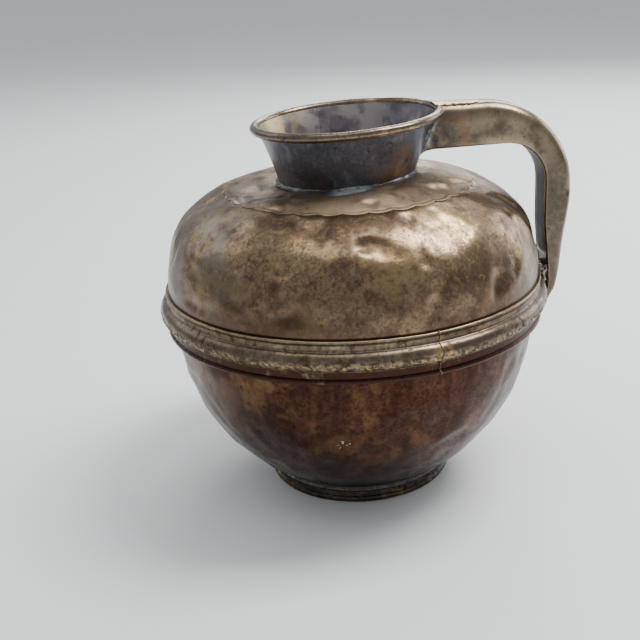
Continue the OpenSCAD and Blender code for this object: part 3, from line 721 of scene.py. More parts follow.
shoulderBrass = metalFinish("tarnishedRaisedBrass", shoulderLook)
collarBrass = metalFinish("tarnishedCollarBrass", collarLook)
bowlBrass = metalFinish("redBrownBowlSheet", bowlLook)
hoopBrass = metalFinish("pittedHoopBrass", hoopLook)
neckBrass = metalFinish("torchBluedBrass", neckLook)
rimBrass = metalFinish("rubbedRimBrass", rimLook)
handleBrass = metalFinish("handledSheetBrass", handleLook)
# pale tab finish: wear and a painted reflection
tabBrass = metalFinish("thumbWornBrass", tabLook)
stripBrass = metalFinish("shadedStripBrass", stripLook)
footBrass = metalFinish("darkFootBrass", footLook)
tinSolder = metalFinish("dullTinSolder", solderLook)
chalkySolder = metalFinish("chalkyTinSolder", chalkyLook)
spelter = metalFinish("brazingSpelter", brazeLook)
print("finishes made")

sharpFrom = 38
weldGap = 0.001 * mm


def finishPiece(piece, node):
    # weld and shade the mesh, hang it on the root body and hide the CAD node it stands for
    mesh = piece.data
    shell = bmesh.new()
    shell.from_mesh(mesh)
    bmesh.ops.remove_doubles(shell, verts=shell.verts, dist=weldGap)
    bmesh.ops.recalc_face_normals(shell, faces=shell.faces)
    shell.to_mesh(mesh)
    shell.free()
    mesh.shade_smooth()
    mesh.set_sharp_from_angle(angle=math.radians(sharpFrom))
    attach(piece, "root")
    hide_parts(node)
    print("made", piece.name, len(mesh.polygons))
    return piece


hammered = hammeredSheetTree()
turned = turnedRingTree()
lumpy = lumpyBeadTree()
lumps = solderLumpsTree()


def arcPoints(x, z, radius, start, end, count):
    # bearings in degrees, 0 outwards and 90 up
    turns = [math.radians(mix(start, end, i / (count - 1))) for i in range(count)]
    return [(x + radius * math.cos(t), z + radius * math.sin(t)) for t in turns]


def outlinePiece(name, outline):
    # a closed wall section, given as radius and height, for the turned ring tree
    return linePiece(name, [(r, 0, z) for r, z in outline], True)


# bowl: one sheet, closed at the bottom, its straight edge standing inside the skirt
bowlShape = {"rings": 96, "turnSteps": 384, "lapSteps": 5, "baseSteps": 12, "curveSteps": 200}
bowlDrop = girdleHeight - bowlBase


def bowlCurve(inset):
    # from the axis at the bottom out and up to the widest circle
    reach = girdleHeight + body["bowlSink"] - inset
    start = math.asin((bowlDrop - inset) / reach)
    turns = [start * (1 - i / bowlShape["curveSteps"]) for i in range(bowlShape["curveSteps"] + 1)]
    return [((bowlRadius - inset) * math.cos(t), girdleHeight - reach * math.sin(t)) for t in turns]


def bowlSection(inset):
    side = evenly(bowlCurve(inset), bowlShape["rings"])
    flatEdge = side[0]
    steps = bowlShape["baseSteps"]
    base = [(flatEdge[0] * i / steps, flatEdge[1]) for i in range(1, steps)]
    lap = [(bowlRadius - inset, mix(girdleHeight, bowlHigh.z, i / bowlShape["lapSteps"]))
           for i in range(1, bowlShape["lapSteps"] + 1)]
    return base + side + lap


outerBowl, innerBowl = bowlSection(0.0), bowlSection(body["wall"])
bowlWall = [(0.0, bowlBase)] + outerBowl + innerBowl[::-1] + [(0.0, bowlBase + body["wall"])]
bowlSheet = spunPiece("bowlSheet", lambda angle: bowlWall, bowlShape["turnSteps"])
markInside(bowlSheet, lambda co, index: index % len(bowlWall) > len(outerBowl))
applyTree(bowlSheet, hammered, {
    "Centre Height": girdleHeight, "Swell Size": 42 * mm, "Swell Depth": 2.8 * mm, "Facet Size": 18 * mm,
    "Facet Depth": 0.35 * mm, "Knock Size": 21 * mm, "Knock Depth": 1.3 * mm,
    "Low Edge": bowlBase + 4 * mm, "High Edge": hoopLow.z + 3 * mm, "Fade Width": 14 * mm, "Seed": 2.0,
    "Material": bowlBrass,
    "Dent Place": (20 * mm, -103 * mm, 70 * mm), "Dent Radius": 22 * mm, "Dent Depth": 0.9 * mm,
    "Second Place": (-70 * mm, -76 * mm, 62 * mm), "Second Radius": 26 * mm, "Second Depth": 0.9 * mm})
finishPiece(bowlSheet, "lower_bowl")

# shoulder and collar plate share one hammering, so the toothed seam between them stays closed
neckLean = neck["lean"] * neck["leanShown"]
raised = {
    "Centre Height": girdleHeight, "Swell Size": 40 * mm, "Swell Depth": 3.4 * mm, "Facet Size": 20 * mm,
    "Facet Depth": 0.4 * mm, "Knock Size": 17 * mm, "Knock Depth": 2.7 * mm, "Low Edge": hoopHigh.z,
    "High Edge": 1.0, "Core Radius": neck["footRadius"], "Fade Width": 10 * mm, "Seed": 1.0,
    "Dent Place": (-54 * mm, -18 * mm, 194 * mm), "Dent Radius": 30 * mm, "Dent Depth": 1.9 * mm,
    "Second Place": (34 * mm, -86 * mm, 180 * mm), "Second Radius": 24 * mm, "Second Depth": 1.2 * mm,
    "Lean": neckLean, "Lean Inner": neck["footRadius"], "Lean Outer": 72 * mm}
shoulderShape = {
    "skirtRings": 6, "sideRings": 46, "topRings": 22, "curveSteps": 160,
    "edgeDrop": 0.2 * mm, "edgeRound": 1.6 * mm,      # the toothed edge is dressed down a little
}


def shoulderSide(inset):
    # from the skirt's low edge up the curve to where the rings turn to follow the teeth
    stop = math.acos((body["turnedAt"] / bodyRadius) ** (body["shoulderSquare"] / 2))
    power = 2 / body["shoulderSquare"]
    curve = []
    for i in range(shoulderShape["curveSteps"] + 1):
        # steps start short, where the curve leaves the skirt
        turn = stop * (i / shoulderShape["curveSteps"]) ** 1.6
        curve.append(((bodyRadius - inset) * math.cos(turn) ** power,
                      shoulderLow + (crownRise - inset) * math.sin(turn) ** power))
    skirt = [(bodyRadius - inset, mix(skirtLow, shoulderLow, i / shoulderShape["skirtRings"]))
             for i in range(shoulderShape["skirtRings"])]
    return skirt + evenly(curve, shoulderShape["sideRings"])


outerSide, innerSide = shoulderSide(0.0), shoulderSide(body["wall"])


def shoulderSection(angle):
    edge = toothedRadius(angle) + body["seamWidth"] / 2
    outer, inner = list(outerSide), list(innerSide)
    for i in range(1, shoulderShape["topRings"] + 1):
        share = (i / shoulderShape["topRings"]) ** 0.8
        radius = mix(outerSide[-1][0], edge, share)
        sunk = shoulderShape["edgeDrop"] * (1 - smooth((radius - edge) / shoulderShape["edgeRound"]))
        outer.append((radius, shoulderHeight(radius) - sunk))
        inner.append((mix(innerSide[-1][0], edge, share), shoulderHeight(radius, body["wall"])))
    return outer + inner[::-1]


shoulderSheet = spunPiece("shoulderSheet", shoulderSection, bodySteps)
shoulderCount = len(outerSide) + shoulderShape["topRings"]
markInside(shoulderSheet, lambda co, index: index % (2 * shoulderCount) >= shoulderCount)
applyTree(shoulderSheet, hammered, dict(raised, Material=shoulderBrass))
finishPiece(shoulderSheet, "upper_dome")

# the collar's edge rises to a lip, with a shallow groove inboard of it
collarShape = {
    "rings": 40, "lipWidth": 2.2 * mm, "grooveDepth": 0.12 * mm,
    "grooveAt": 1.25, "grooveHalf": 0.45,         # in lip widths
}


def collarSection(angle):
    edge = toothedRadius(angle) - body["seamWidth"] / 2
    outer, inner = [], []
    for i in range(collarShape["rings"] + 1):
        share = (i / collarShape["rings"]) ** 1.7
        radius = mix(edge, neckHole, share)
        inboard = (edge - radius) / collarShape["lipWidth"]
        lip = body["lipHeight"] * smooth(0.35 + 2.2 * inboard) * (1 - smooth(1.4 * inboard - 0.35))
        groove = collarShape["grooveDepth"] * max(
            0.0, 1 - abs(inboard - collarShape["grooveAt"]) / collarShape["grooveHalf"])
        outer.append((radius, shoulderHeight(radius) + lip - groove))
        inner.append((radius, shoulderHeight(radius, body["wall"])))
    return outer + inner[::-1]


collarSheet = spunPiece("collarSheet", collarSection, bodySteps)
collarCount = collarShape["rings"] + 1
markInside(collarSheet, lambda co, index: index % (2 * collarCount) >= collarCount)
applyTree(collarSheet, hammered, dict(raised, Material=collarBrass))
finishPiece(collarSheet, "collar_plate")

# toothed seam: the strip that backs it inside, and the thin line of spelter that shows along the teeth
seam = {
    "inner": brazeHigh.x - 13 * mm, "stripThick": 0.8 * mm, "lineRadius": 0.15 * mm, "lineSink": 0.1 * mm}
stripRadii = [mix(brazeHigh.x, seam["inner"], i / 10) for i in range(11)]


def seamStripSection(angle):
    top = [(r, shoulderHeight(r, body["wall"])) for r in stripRadii]
    return top + [(r, shoulderHeight(r, body["wall"] + seam["stripThick"])) for r in stripRadii[::-1]]


collarBraze = spunPiece("collarBraze", seamStripSection, bodySteps)
applyTree(collarBraze, hammered, dict(raised, Material=spelter))
seamPath = []
for i in range(bodySteps):
    turn = fullTurn * i / bodySteps
    radius = toothedRadius(turn)
    seamHeight = shoulderHeight(radius) - seam["lineSink"]
    seamPath.append((radius * math.cos(turn), radius * math.sin(turn), seamHeight))
seamBraze = linePiece("seamBraze", seamPath, True)
applyTree(seamBraze, lumpy, {
    "Radius": seam["lineRadius"], "Swing": 0.9, "Swing Size": 5 * mm, "Step": 0.7 * mm,
    "Roughness": 0.15 * mm, "Sides": 8, "Seed": 3.0, "Material": spelter})
applyTree(seamBraze, hammered, dict(raised, Material=spelter))
finishPiece(collarBraze, "collar_braze")
finishPiece(seamBraze, "collar_braze")
print("body done")

# girdle hoop: flat strip with a thin lip, half-round bead, groove and small lower bead
hoop = {
    "strip": 1.2 * mm, "lip": 0.9 * mm, "lowBead": 1.6 * mm, "edgeSink": 0.4 * mm, "inside": 0.3 * mm,
    "beadRise": 7.3 * mm,                         # bead's centre above the widest circle
    "dishTop": 2.6 * mm, "dishLow": 4 * mm, "dish": 0.15 * mm,       # the strip is a little hollow
    "overBead": 0.2 * mm, "underBead": 0.1 * mm, "overLow": 0.1 * mm,
    "pitTop": 1.2 * mm,                           # how far above the bead's centre the pits reach
    "jointProud": 0.1 * mm, "jointStray": 0.004, "jointWaves": 900,
}
beadRadius = hoopHigh.x - bodyRadius
beadHeight = girdleHeight + hoop["beadRise"]
stripFace = bodyRadius + hoop["strip"]
hoopOutline = (
    [(bodyRadius - hoop["inside"], hoopLow.z), (bodyRadius - hoop["inside"], hoopHigh.z)]
    + arcPoints(stripFace - hoop["edgeSink"] / 2, hoopHigh.z - hoop["lip"], hoop["lip"], 90, -60, 9)
    + [(stripFace, hoopHigh.z - hoop["dishTop"]), (stripFace - hoop["dish"], hoopHigh.z - hoop["dishLow"]),
       (stripFace, beadHeight + beadRadius + hoop["overBead"])]
    + arcPoints(bodyRadius, beadHeight, beadRadius, 72, -70, 27)
    + [(stripFace, beadHeight - beadRadius - hoop["underBead"]),
       (stripFace, hoopLow.z + 2 * hoop["lowBead"] + hoop["overLow"])]
    + arcPoints(stripFace - hoop["edgeSink"], hoopLow.z + hoop["lowBead"], hoop["lowBead"], 78, -90, 13))
girdleHoop = outlinePiece("girdleHoop", hoopOutline)
applyTree(girdleHoop, turned, {
    "Steps": 880, "Section Steps": 110, "Wobble": 0.9 * mm, "Wobble Size": 38 * mm, "Waver": 0.35 * mm,
    "Waver Size": 6 * mm, "Pit Depth": 0.45 * mm, "Pit Size": 1.9 * mm, "Pit Low": beadHeight - beadRadius,
    "Pit High": beadHeight + hoop["pitTop"], "Seed": 3.0, "Material": hoopBrass})
finishPiece(girdleHoop, "girdle_hoop")

# brazed joint across the hoop's outer face
jointPath = []
for r, z in hoopOutline[2:]:
    turn = jointTurn + hoop["jointStray"] * math.sin(hoop["jointWaves"] * z)
    radius = r + hoop["jointProud"]
    jointPath.append((radius * math.cos(turn), radius * math.sin(turn), z))
hoopJoint = linePiece("hoopJoint", jointPath, False)
applyTree(hoopJoint, lumpy, {"Radius": 0.35 * mm, "Swing": 1.3, "Swing Size": 5 * mm, "Roughness": 0.3 * mm,
                             "Seed": 5.0, "Material": spelter})
finishPiece(hoopJoint, "hoop_joint")

# foot: a strip on edge with a bead below and a thin line above
foot = {
    "bead": 2.2 * mm, "thick": 2 * mm, "line": 1 * mm, "lineSink": 0.6 * mm, "ledge": 1.1 * mm,
    "lift": 0.3 * mm}
footRadius = footHigh.x - foot["bead"]
footTop = footHigh.z
footInside = footRadius - foot["ledge"]
footOutline = (
    [(footRadius - foot["thick"], foot["lift"]), (footRadius - foot["thick"], 2 * foot["bead"]),
     (footInside, footTop)]
    + arcPoints(footInside + foot["thick"] - foot["lineSink"], footTop - foot["line"], foot["line"],
                90, -80, 8)
    + arcPoints(footRadius, foot["bead"], foot["bead"], 70, -90, 15))
footRing = outlinePiece("footRing", footOutline)
applyTree(footRing, turned, {
    "Steps": 420, "Section Steps": 60, "Wobble": 0.5 * mm, "Wobble Size": 26 * mm, "Waver": 0.25 * mm,
    "Waver Size": 5 * mm, "Pit Depth": 0.25 * mm, "Pit Size": 3 * mm, "Pit Low": 1 * mm, "Pit High": 8 * mm,
    "Seed": 6.0, "Material": footBrass})
finishPiece(footRing, "foot_ring")

# solder in the corner between foot and bowl
footFill = {
    "bury": 0.6 * mm, "behind": 0.5 * mm, "edge": 0.2 * mm, "edgeDrop": 0.3 * mm, "backDrop": 0.4 * mm,
}
footFillet = [
    (footInside - footFill["behind"], footTop - footFill["bury"]),
    (footSolderHigh.x - footFill["edge"], footTop - footFill["edgeDrop"]),
    (mix(footInside, footSolderHigh.x, 0.5), mix(footTop, footSolderHigh.z, 0.45)),
    (footSolderHigh.x + footFill["edge"], footSolderHigh.z),
    (footInside, footSolderHigh.z - footFill["backDrop"])]
footSolder = outlinePiece("footSolder", footFillet)
applyTree(footSolder, turned, {"Steps": 360, "Section Steps": 16, "Wobble": 0.5 * mm, "Wobble Size": 9 * mm,
                               "Waver": 0.3 * mm, "Waver Size": 3 * mm, "Seed": 7.0, "Material": tinSolder})
finishPiece(footSolder, "foot_solder")
print("girdle and foot done")

# neck: a flared sheet whose foot leans with the collar and whose rim has its own tilt
neckFootHeight = shoulderHeight(neck["footRadius"])


def neckPoint(angle, share, inset):
    lean = neckLean * neck["footRadius"] * math.cos(angle)
    lowRadius = neck["footRadius"] - inset
    low = Vector((lowRadius * math.cos(angle), lowRadius * math.sin(angle), neckFootHeight + lean))
    topRadius = rimRadius - rim["rollRadius"] + neck["wall"] - inset
    high = rimCentre + Vector((topRadius * math.cos(angle) * math.cos(rimTilt), topRadius * math.sin(angle),
                               topRadius * math.cos(angle) * math.sin(rimTilt)))
    point = low.lerp(high, share)
    bow = 4 * neck["bow"] * share * (1 - share)
    return (point.x - bow * math.cos(angle), point.y - bow * math.sin(angle), point.z)


neckLoops = []
for i in range(neck["turnSteps"]):
    turn = fullTurn * i / neck["turnSteps"]
    shares = [mix(-neck["sunk"], 1.0, k / neck["steps"]) for k in range(neck["steps"] + 1)]
    flank = [neckPoint(turn, share, 0.0) for share in shares]
    neckLoops.append(flank + [neckPoint(turn, share, neck["wall"]) for share in shares[::-1]])
neckSheet = loftPiece("neckSheet", neckLoops, True)
neckCount = neck["steps"] + 1
markInside(neckSheet, lambda co, index: index % (2 * neckCount) >= neckCount)
applyTree(neckSheet, hammered, {
    "Centre Height": mix(neckLow.z, neckHigh.z, 0.5), "Swell Size": 26 * mm, "Swell Depth": 1.5 * mm,
    "Facet Size": 12 * mm, "Facet Depth": 0.12 * mm, "Low Edge": neckLow.z,
    "High Edge": neckHigh.z - 3 * mm, "Fade Width": 9 * mm, "Seed": 8.0, "Material": neckBrass})
finishPiece(neckSheet, "neck")

rollOutline = arcPoints(rimRadius, 0, rim["rollRadius"], 0, 346, 26)
rimRoll = outlinePiece("rimRoll", rollOutline)
applyTree(rimRoll, turned, {
    "Steps": 432, "Section Steps": 40, "Wobble": 0.7 * mm, "Wobble Size": 24 * mm, "Waver": 0.25 * mm,
    "Waver Size": 5 * mm, "Tilt": rimTilt, "Shift": rimCentre.x, "Level": rimCentre.z, "Seed": 9.0,
    "Material": rimBrass})
finishPiece(rimRoll, "neck")

# the neck's brazed side seam, a low half-round strip inside
sideSeam = {
    "bearing": 98, "width": 6 * mm, "thick": 0.6 * mm, "from": 0.05, "to": 0.84, "rows": 30, "steps": 8,
    "edgeSink": 0.05 * mm, "bury": 0.2 * mm}
seamTurn = math.radians(sideSeam["bearing"])
seamLoops = []
for i in range(sideSeam["rows"] + 1):
    share = mix(sideSeam["from"], sideSeam["to"], i / sideSeam["rows"])
    face, back = [], []
    for k in range(sideSeam["steps"] + 1):
        turn = math.pi * k / sideSeam["steps"]
        bearing = seamTurn + math.cos(turn) * sideSeam["width"] / 2 / neck["footRadius"]
        proud = sideSeam["thick"] * math.sin(turn) - sideSeam["edgeSink"]
        face.append(neckPoint(bearing, share, neck["wall"] + proud))
        back.append(neckPoint(bearing, share, neck["wall"] - sideSeam["bury"]))
    seamLoops.append(face + back[-2:0:-1])
neckSeam = loftPiece("neckSeam", seamLoops, False)
markInside(neckSeam, lambda co, index: True)
applyTree(neckSeam, hammered, {
    "Centre Height": mix(neckLow.z, neckHigh.z, 0.5), "Swell Size": 9 * mm, "Swell Depth": 0.5 * mm,
    "Facet Size": 5 * mm, "Facet Depth": 0.1 * mm, "Seed": 10.0, "Material": neckBrass})
finishPiece(neckSeam, "neck_seam")

# solder round the foot of the neck, uneven, and run wide in front
neckFill = {
    "radius": neckSolderHigh.x - neck["footRadius"], "steps": 480, "bury": 0.6 * mm,
    "frontBearing": 262, "frontHalf": 0.3,        # degrees and radians
}


def neckSolderSection(angle):
    lean = neckLean * neck["footRadius"] * math.cos(angle)
    offFront = abs((angle - math.radians(neckFill["frontBearing"]) + math.pi) % fullTurn - math.pi)
    front = smooth(1.5 - offFront / neckFill["frontHalf"])
    reach = neckFill["radius"] * (0.8 + 2.6 * front + 0.3 * math.sin(5 * angle + 1) * math.sin(11 * angle))
    rise = neckFill["radius"] * (0.55 + 0.2 * math.sin(7 * angle))
    r, z = neck["footRadius"], neckFootHeight + lean
    return [(r - neckFill["bury"], z - 0.8 * mm), (r + reach, z - 0.7 * mm), (r + reach, z - 0.3 * mm),
            (r + 0.62 * reach, z + 0.1 * rise), (r + 0.3 * reach, z + 0.3 * rise),
            (r + 0.14 * reach, z + 0.65 * rise), (r + 0.1 * mm, z + rise),
            (r - neckFill["bury"], z + rise)]


neckSolder = spunPiece("neckSolder", neckSolderSection, neckFill["steps"])
applyTree(neckSolder, hammered, {
    "Centre Height": neckLow.z - 20 * mm, "Swell Size": 7 * mm, "Swell Depth": 1.1 * mm,
    "Facet Size": 4 * mm, "Facet Depth": 0.18 * mm, "Seed": 11.0, "Material": tinSolder})
finishPiece(neckSolder, "neck_solder")
print("neck done")

# handle: a folded channel that flattens to a solid tail, drawn as rings between an outer and an inner line
handle = {
    "width": handleHigh.y - handleLow.y,
    "corner": 5.6 * mm, "cornerPower": 1.33,      # 1 is a round corner, higher is nearer a flat bevel
    "innerCorner": 1.2 * mm, "elbowRadius": 60 * mm,
    "outerBend": 55 * mm, "innerBend": 25 * mm, "gripDepth": 17.3 * mm, "rootDepth": 25.3 * mm,
    "elbow": 58 * mm, "innerElbow": 40 * mm, "strapBend": 14 * mm, "innerStrapBend": 12 * mm,
    "strapDepth": 5.5 * mm, "strapGap": 4.2 * mm, "strapLead": 2 * mm,
    "tipThick": 2.6 * mm, "tipWidth": 12 * mm, "tipGap": 1 * mm,
    "hollowEnd": 14 * mm, "straightSteps": 16, "bendSteps": 18, "groove": 0.5 * mm, "sheet": 1.2 * mm,
    "wideFrom": 16 * mm, "leastHalf": 0.8 * mm, "grooveRun": 6 * mm, "crown": 0.02 * mm, "bury": 0.5 * mm,
}
topFace, outerFace, tipHeight = handleHigh.z, handleHigh.x, handleLow.z
gripFace = outerFace - handle["gripDepth"]
strapHeight = beadHeight - beadRadius - hoop["lowBead"]
strapFace = hoopHigh.x + handle["strapGap"]
bowlReach = girdleHeight + body["bowlSink"]
bowlAtTip = bowlRadius * math.sqrt(1 - ((girdleHeight - tipHeight) / bowlReach) ** 2)


def bentLine(corners):
    # a side view through corners given as x, height and bend radius, with the same steps in each stretch
    line = []
    last = Vector(corners[0][:2])
    for i in range(1, len(corners) - 1):
        before, at, after = Vector(corners[i - 1][:2]), Vector(corners[i][:2]), Vector(corners[i + 1][:2])
        into, out = (before - at).normalized(), (after - at).normalized()
        half = math.acos(clamp(into.dot(out), -1, 1)) / 2
        centre = at + (into + out).normalized() * corners[i][2] / math.sin(half)
        start = at + into * corners[i][2] / math.tan(half)
        end = at + out * corners[i][2] / math.tan(half)
        line += [last.lerp(start, k / handle["straightSteps"]) for k in range(handle["straightSteps"])]
        first, final = start - centre, end - centre
        swing = math.atan2(first.x * final.y - first.y * final.x, first.dot(final))
        for k in range(handle["bendSteps"]):
            turn = swing * k / handle["bendSteps"]
            line.append(centre + Vector((first.x * math.cos(turn) - first.y * math.sin(turn),
                                         first.x * math.sin(turn) + first.y * math.cos(turn))))
        last = end
    tail = Vector(corners[-1][:2])
    return line + [last.lerp(tail, k / handle["straightSteps"]) for k in range(handle["straightSteps"] + 1)]


neckSlope = (rimRadius - rim["rollRadius"] - neckHole) / (rimCentre.z - neckFootHeight)
rootHeight = topFace - handle["rootDepth"]
rootFace = neck["footRadius"] + neckSlope * (rootHeight - neckFootHeight) - handle["sheet"] / 2
outerLine = bentLine([
    (rimCentre.x + rimRadius, topFace, 0), (outerFace, topFace, handle["outerBend"]),
    (outerFace, girdleHeight + handle["elbow"], handle["elbowRadius"]),
    (strapFace + handle["strapDepth"], strapHeight, handle["strapBend"]),
    (bowlAtTip + handle["tipGap"] + handle["tipThick"], tipHeight, 0)])
innerLine = bentLine([
    (rootFace, rootHeight, 0), (gripFace, rootHeight, handle["innerBend"]),
    (gripFace, girdleHeight + handle["innerElbow"], handle["elbowRadius"]),
    (strapFace, strapHeight + handle["strapLead"], handle["innerStrapBend"]),
    (bowlAtTip + handle["tipGap"], tipHeight, 0)])


def handleWidth(z):
    # full width above, narrowing to a round tip
    half = handle["tipWidth"] / 2
    wideAt, narrowAt = strapHeight + handle["wideFrom"], tipHeight + half
    if z >= narrowAt:
        return mix(handle["tipWidth"], handle["width"], clamp((z - narrowAt) / (wideAt - narrowAt)))
    return 2 * math.sqrt(max(half ** 2 - (narrowAt - z) ** 2, handle["leastHalf"] ** 2))


def handleLoop(outer, inner):
    depth = (inner - outer).length
    across = (inner - outer).normalized()
    half = handleWidth(mix(outer.y, inner.y, 0.5)) / 2
    big = min(handle["corner"], 0.42 * depth, 0.6 * half)
    small = min(handle["innerCorner"], 0.3 * depth)
    groove = handle["groove"] * smooth((outer.y - strapHeight - handle["hollowEnd"]) / handle["grooveRun"])
    lip = max(half - handle["sheet"], 0.3 * half)
    # right half of the section, as depth below the outer face and distance from the middle
    right = [(0.0, 0.0), (0.0, 0.34 * half), (handle["crown"], 0.7 * (half - big))]
    flat = handle["cornerPower"]
    right += [(big - big * math.cos(t) ** flat, half - big + big * math.sin(t) ** flat)
              for t in [math.radians(90 * k / 8) for k in range(8)]] + [(big, half)]
    right += [(mix(big, depth - small, k / 4), half) for k in (1, 2, 3)]
    right += [(depth - small + small * math.sin(t), half - small + small * math.cos(t))
              for t in [math.radians(90 * k / 3) for k in range(4)]]
    right += [(depth, max(lip + 0.15 * mm, 0.3 * mm)), (depth - groove, max(lip, 0.2 * mm)),
              (depth - groove, 0.5 * lip), (depth - groove, 0.0)]
    whole = right + [(s, -y) for s, y in right[-2:0:-1]]
    return [(outer.x + across.x * s, y, outer.y + across.y * s) for s, y in whole]


def onNeck(point):
    # first ring of the handle, laid on the neck's flank and run into the rolled rim
    x, y, z = point
    share = (z - neckFootHeight) / (rimCentre.z - neckFootHeight)
    flank = neck["footRadius"] + share * (rimRadius - rim["rollRadius"] + neck["wall"] - neck["footRadius"])
    radius = flank - 4 * neck["bow"] * share * (1 - share) + 0.1 * mm + rimCentre.x * share
    return (max(math.sqrt(radius ** 2 - y ** 2), 0.0) - handle["bury"], y, z)


handleLoops = [handleLoop(o, i) for o, i in zip(outerLine, innerLine)]
handleLoops[0] = [onNeck(p) for p in handleLoops[0]]
handleShell = loftPiece("handleShell", handleLoops, False)
handleHammering = {
    "Centre Height": girdleHeight + 60 * mm, "Swell Size": 34 * mm, "Swell Depth": 1.3 * mm,
    "Facet Size": 11 * mm, "Facet Depth": 0.12 * mm, "Low Edge": tipHeight, "High Edge": topFace + 8 * mm,
    "Fade Width": 8 * mm, "Seed": 12.0}
applyTree(handleShell, hammered, dict(handleHammering, Material=handleBrass))
finishPiece(handleShell, "handle_shell")

# strip that closes the handle's inner face, let in between its cheeks
strip = {
    "clearance": 0.25 * mm, "stopShort": 6 * mm,
    # the section, as depth in mm into the handle from its inner line and share of the half width
    "section": ((1.0, -1.0), (0.3, -1.0), (0.1, -0.92), (0.1, -0.45), (0.1, 0.0), (0.1, 0.45), (0.1, 0.92),
                (0.3, 1.0), (1.0, 1.0), (1.0, 0.0)),
}
stripHalf = handle["width"] / 2 - handle["sheet"] - strip["clearance"]
stripLoops = []
for outer, inner in list(zip(outerLine, innerLine))[1:]:
    if inner.y < strapHeight + handle["hollowEnd"] + strip["stopShort"]:
        break
    across = (inner - outer).normalized()
    half = min(stripHalf, handleWidth(inner.y) / 2 - handle["sheet"] - strip["clearance"])
    loop = []
    for depth, y in strip["section"]:
        down = -depth * mm
        loop.append((inner.x + across.x * down, y * half, inner.y + across.y * down))
    stripLoops.append(loop)
handleStrip = loftPiece("handleStrip", stripLoops, False)
applyTree(handleStrip, hammered, dict(handleHammering, Material=stripBrass))
finishPiece(handleStrip, "handle_strip")

# tab lapped from the rim over the handle, its end rounded and worn thin
tab = {
    "width": tabHigh.y - tabLow.y, "steps": 40, "thick": tabHigh.z - tabLow.z, "stopShort": 0.05 * mm,
    "leastHalf": 0.3 * mm, "bury": 0.7 * mm, "acrossSteps": 10, "tipThin": 0.35,
}
tabLoops = []
for i in range(tab["steps"] + 1):
    x = mix(tabLow.x, tabHigh.x - tab["stopShort"], (i / tab["steps"]) ** 0.9)
    half = tab["width"] / 2
    past = max(0.0, x - (tabHigh.x - half))
    half = max(math.sqrt(half ** 2 - past ** 2), tab["leastHalf"]) * (1 + 0.04 * math.sin(i * 0.9))
    edge = tab["thick"] * mix(1.0, tab["tipThin"], smooth((x - tabLow.x) / (tabHigh.x - tabLow.x)))
    face, back = [], []
    for k in range(tab["acrossSteps"] + 1):
        turn = math.pi * k / tab["acrossSteps"]
        y = -half * math.cos(turn)
        face.append((x, y, tabLow.z + edge * (0.25 + 0.75 * math.sin(turn) ** 0.5)))
        back.append((x, y, tabLow.z - tab["bury"]))
    tabLoops.append(face + back[-2:0:-1])
handleTab = loftPiece("handleTab", tabLoops, False)
applyTree(handleTab, hammered, {
    "Centre Height": girdleHeight, "Swell Size": 11 * mm, "Swell Depth": 0.8 * mm, "Facet Size": 6 * mm,
    "Facet Depth": 0.08 * mm, "Seed": 13.0, "Material": tabBrass})
finishPiece(handleTab, "handle_tab")

# solder filling the corner between the handle's root and the neck, wide underneath
rootFill = {
    "sideLeg": 2.4 * mm, "underLeg": 5.5 * mm, "neckLeg": 2.6 * mm, "bury": 0.8 * mm, "steps": 14,
    "topDrop": 5 * mm, "cornerDrop": 0.2 * mm, "proud": 0.3 * mm, "endSize": 0.3, "endSteps": 5,
    # the fillet's section: share of its reach along the handle, and share of its rise up the neck
    "section": ((0.0, -0.5), (1.0, -0.5), (1.0, 0.0), (0.6, 0.12), (0.32, 0.32), (0.12, 0.62), (0.0, 1.0)),
}
rootHalf = handle["width"] / 2
rootTop = topFace - rootFill["topDrop"]
rootUnder = rootHeight - rootFill["cornerDrop"]
rootStops = []
for k in range(rootFill["steps"] + 1):
    rootStops.append((rootHalf, mix(rootTop, rootHeight, k / rootFill["steps"]), 0))
for k in range(1, 6):
    turn = math.radians(90 * k / 6)
    rootStops.append((rootHalf - (1 - math.cos(turn)) * mm,
                      rootHeight - math.sin(turn) * rootFill["cornerDrop"], turn))
for k in range(rootFill["steps"] + 1):
    rootStops.append((mix(rootHalf - mm, 0, k / rootFill["steps"]), rootUnder, math.radians(90)))
rootStops += [(-y, z, math.pi - turn) for y, z, turn in rootStops[-2::-1]]
rootLoops = []
for order, (y, z, turn) in enumerate(rootStops):
    out = (math.cos(turn), -math.sin(turn))
    under = abs(math.sin(turn))
    fromEnd = min(order, len(rootStops) - 1 - order)
    ends = mix(rootFill["endSize"], 1.0, smooth(fromEnd / rootFill["endSteps"]))
    along = mix(rootFill["sideLeg"], rootFill["underLeg"], under) * ends
    down = rootFill["neckLeg"] * ends
    section = [(share * along, rise) for share, rise in rootFill["section"]] + [(-rootFill["bury"], 1.0)]
    loop = []
    for side, rise in section:
        lift = rise * down if rise > 0 else rise * mm
        x, sideY, height = onNeck((0, y + out[0] * lift, z + out[1] * lift))
        loop.append((x + rootFill["proud"] + side, sideY, height))
    rootLoops.append(loop)
rootSolder = loftPiece("rootSolder", rootLoops, False)
applyTree(rootSolder, hammered, {
    "Centre Height": rootHeight + 12 * mm, "Swell Size": 5 * mm, "Swell Depth": 0.7 * mm,
    "Facet Size": 3 * mm, "Facet Depth": 0.12 * mm, "Seed": 7.0, "Material": tinSolder})
finishPiece(rootSolder, "root_solder")


def lumpFormer(name, low, high):
    # a plain box that the drops of solder are scattered over
    a, b = low, high
    corners = [(x, y, z) for x in (a[0], b[0]) for y in (a[1], b[1]) for z in (a[2], b[2])]
    faces = [(0, 1, 3, 2), (4, 6, 7, 5), (0, 4, 5, 1), (2, 3, 7, 6), (0, 2, 6, 4), (1, 5, 7, 3)]
    return meshPiece(name, corners, faces)


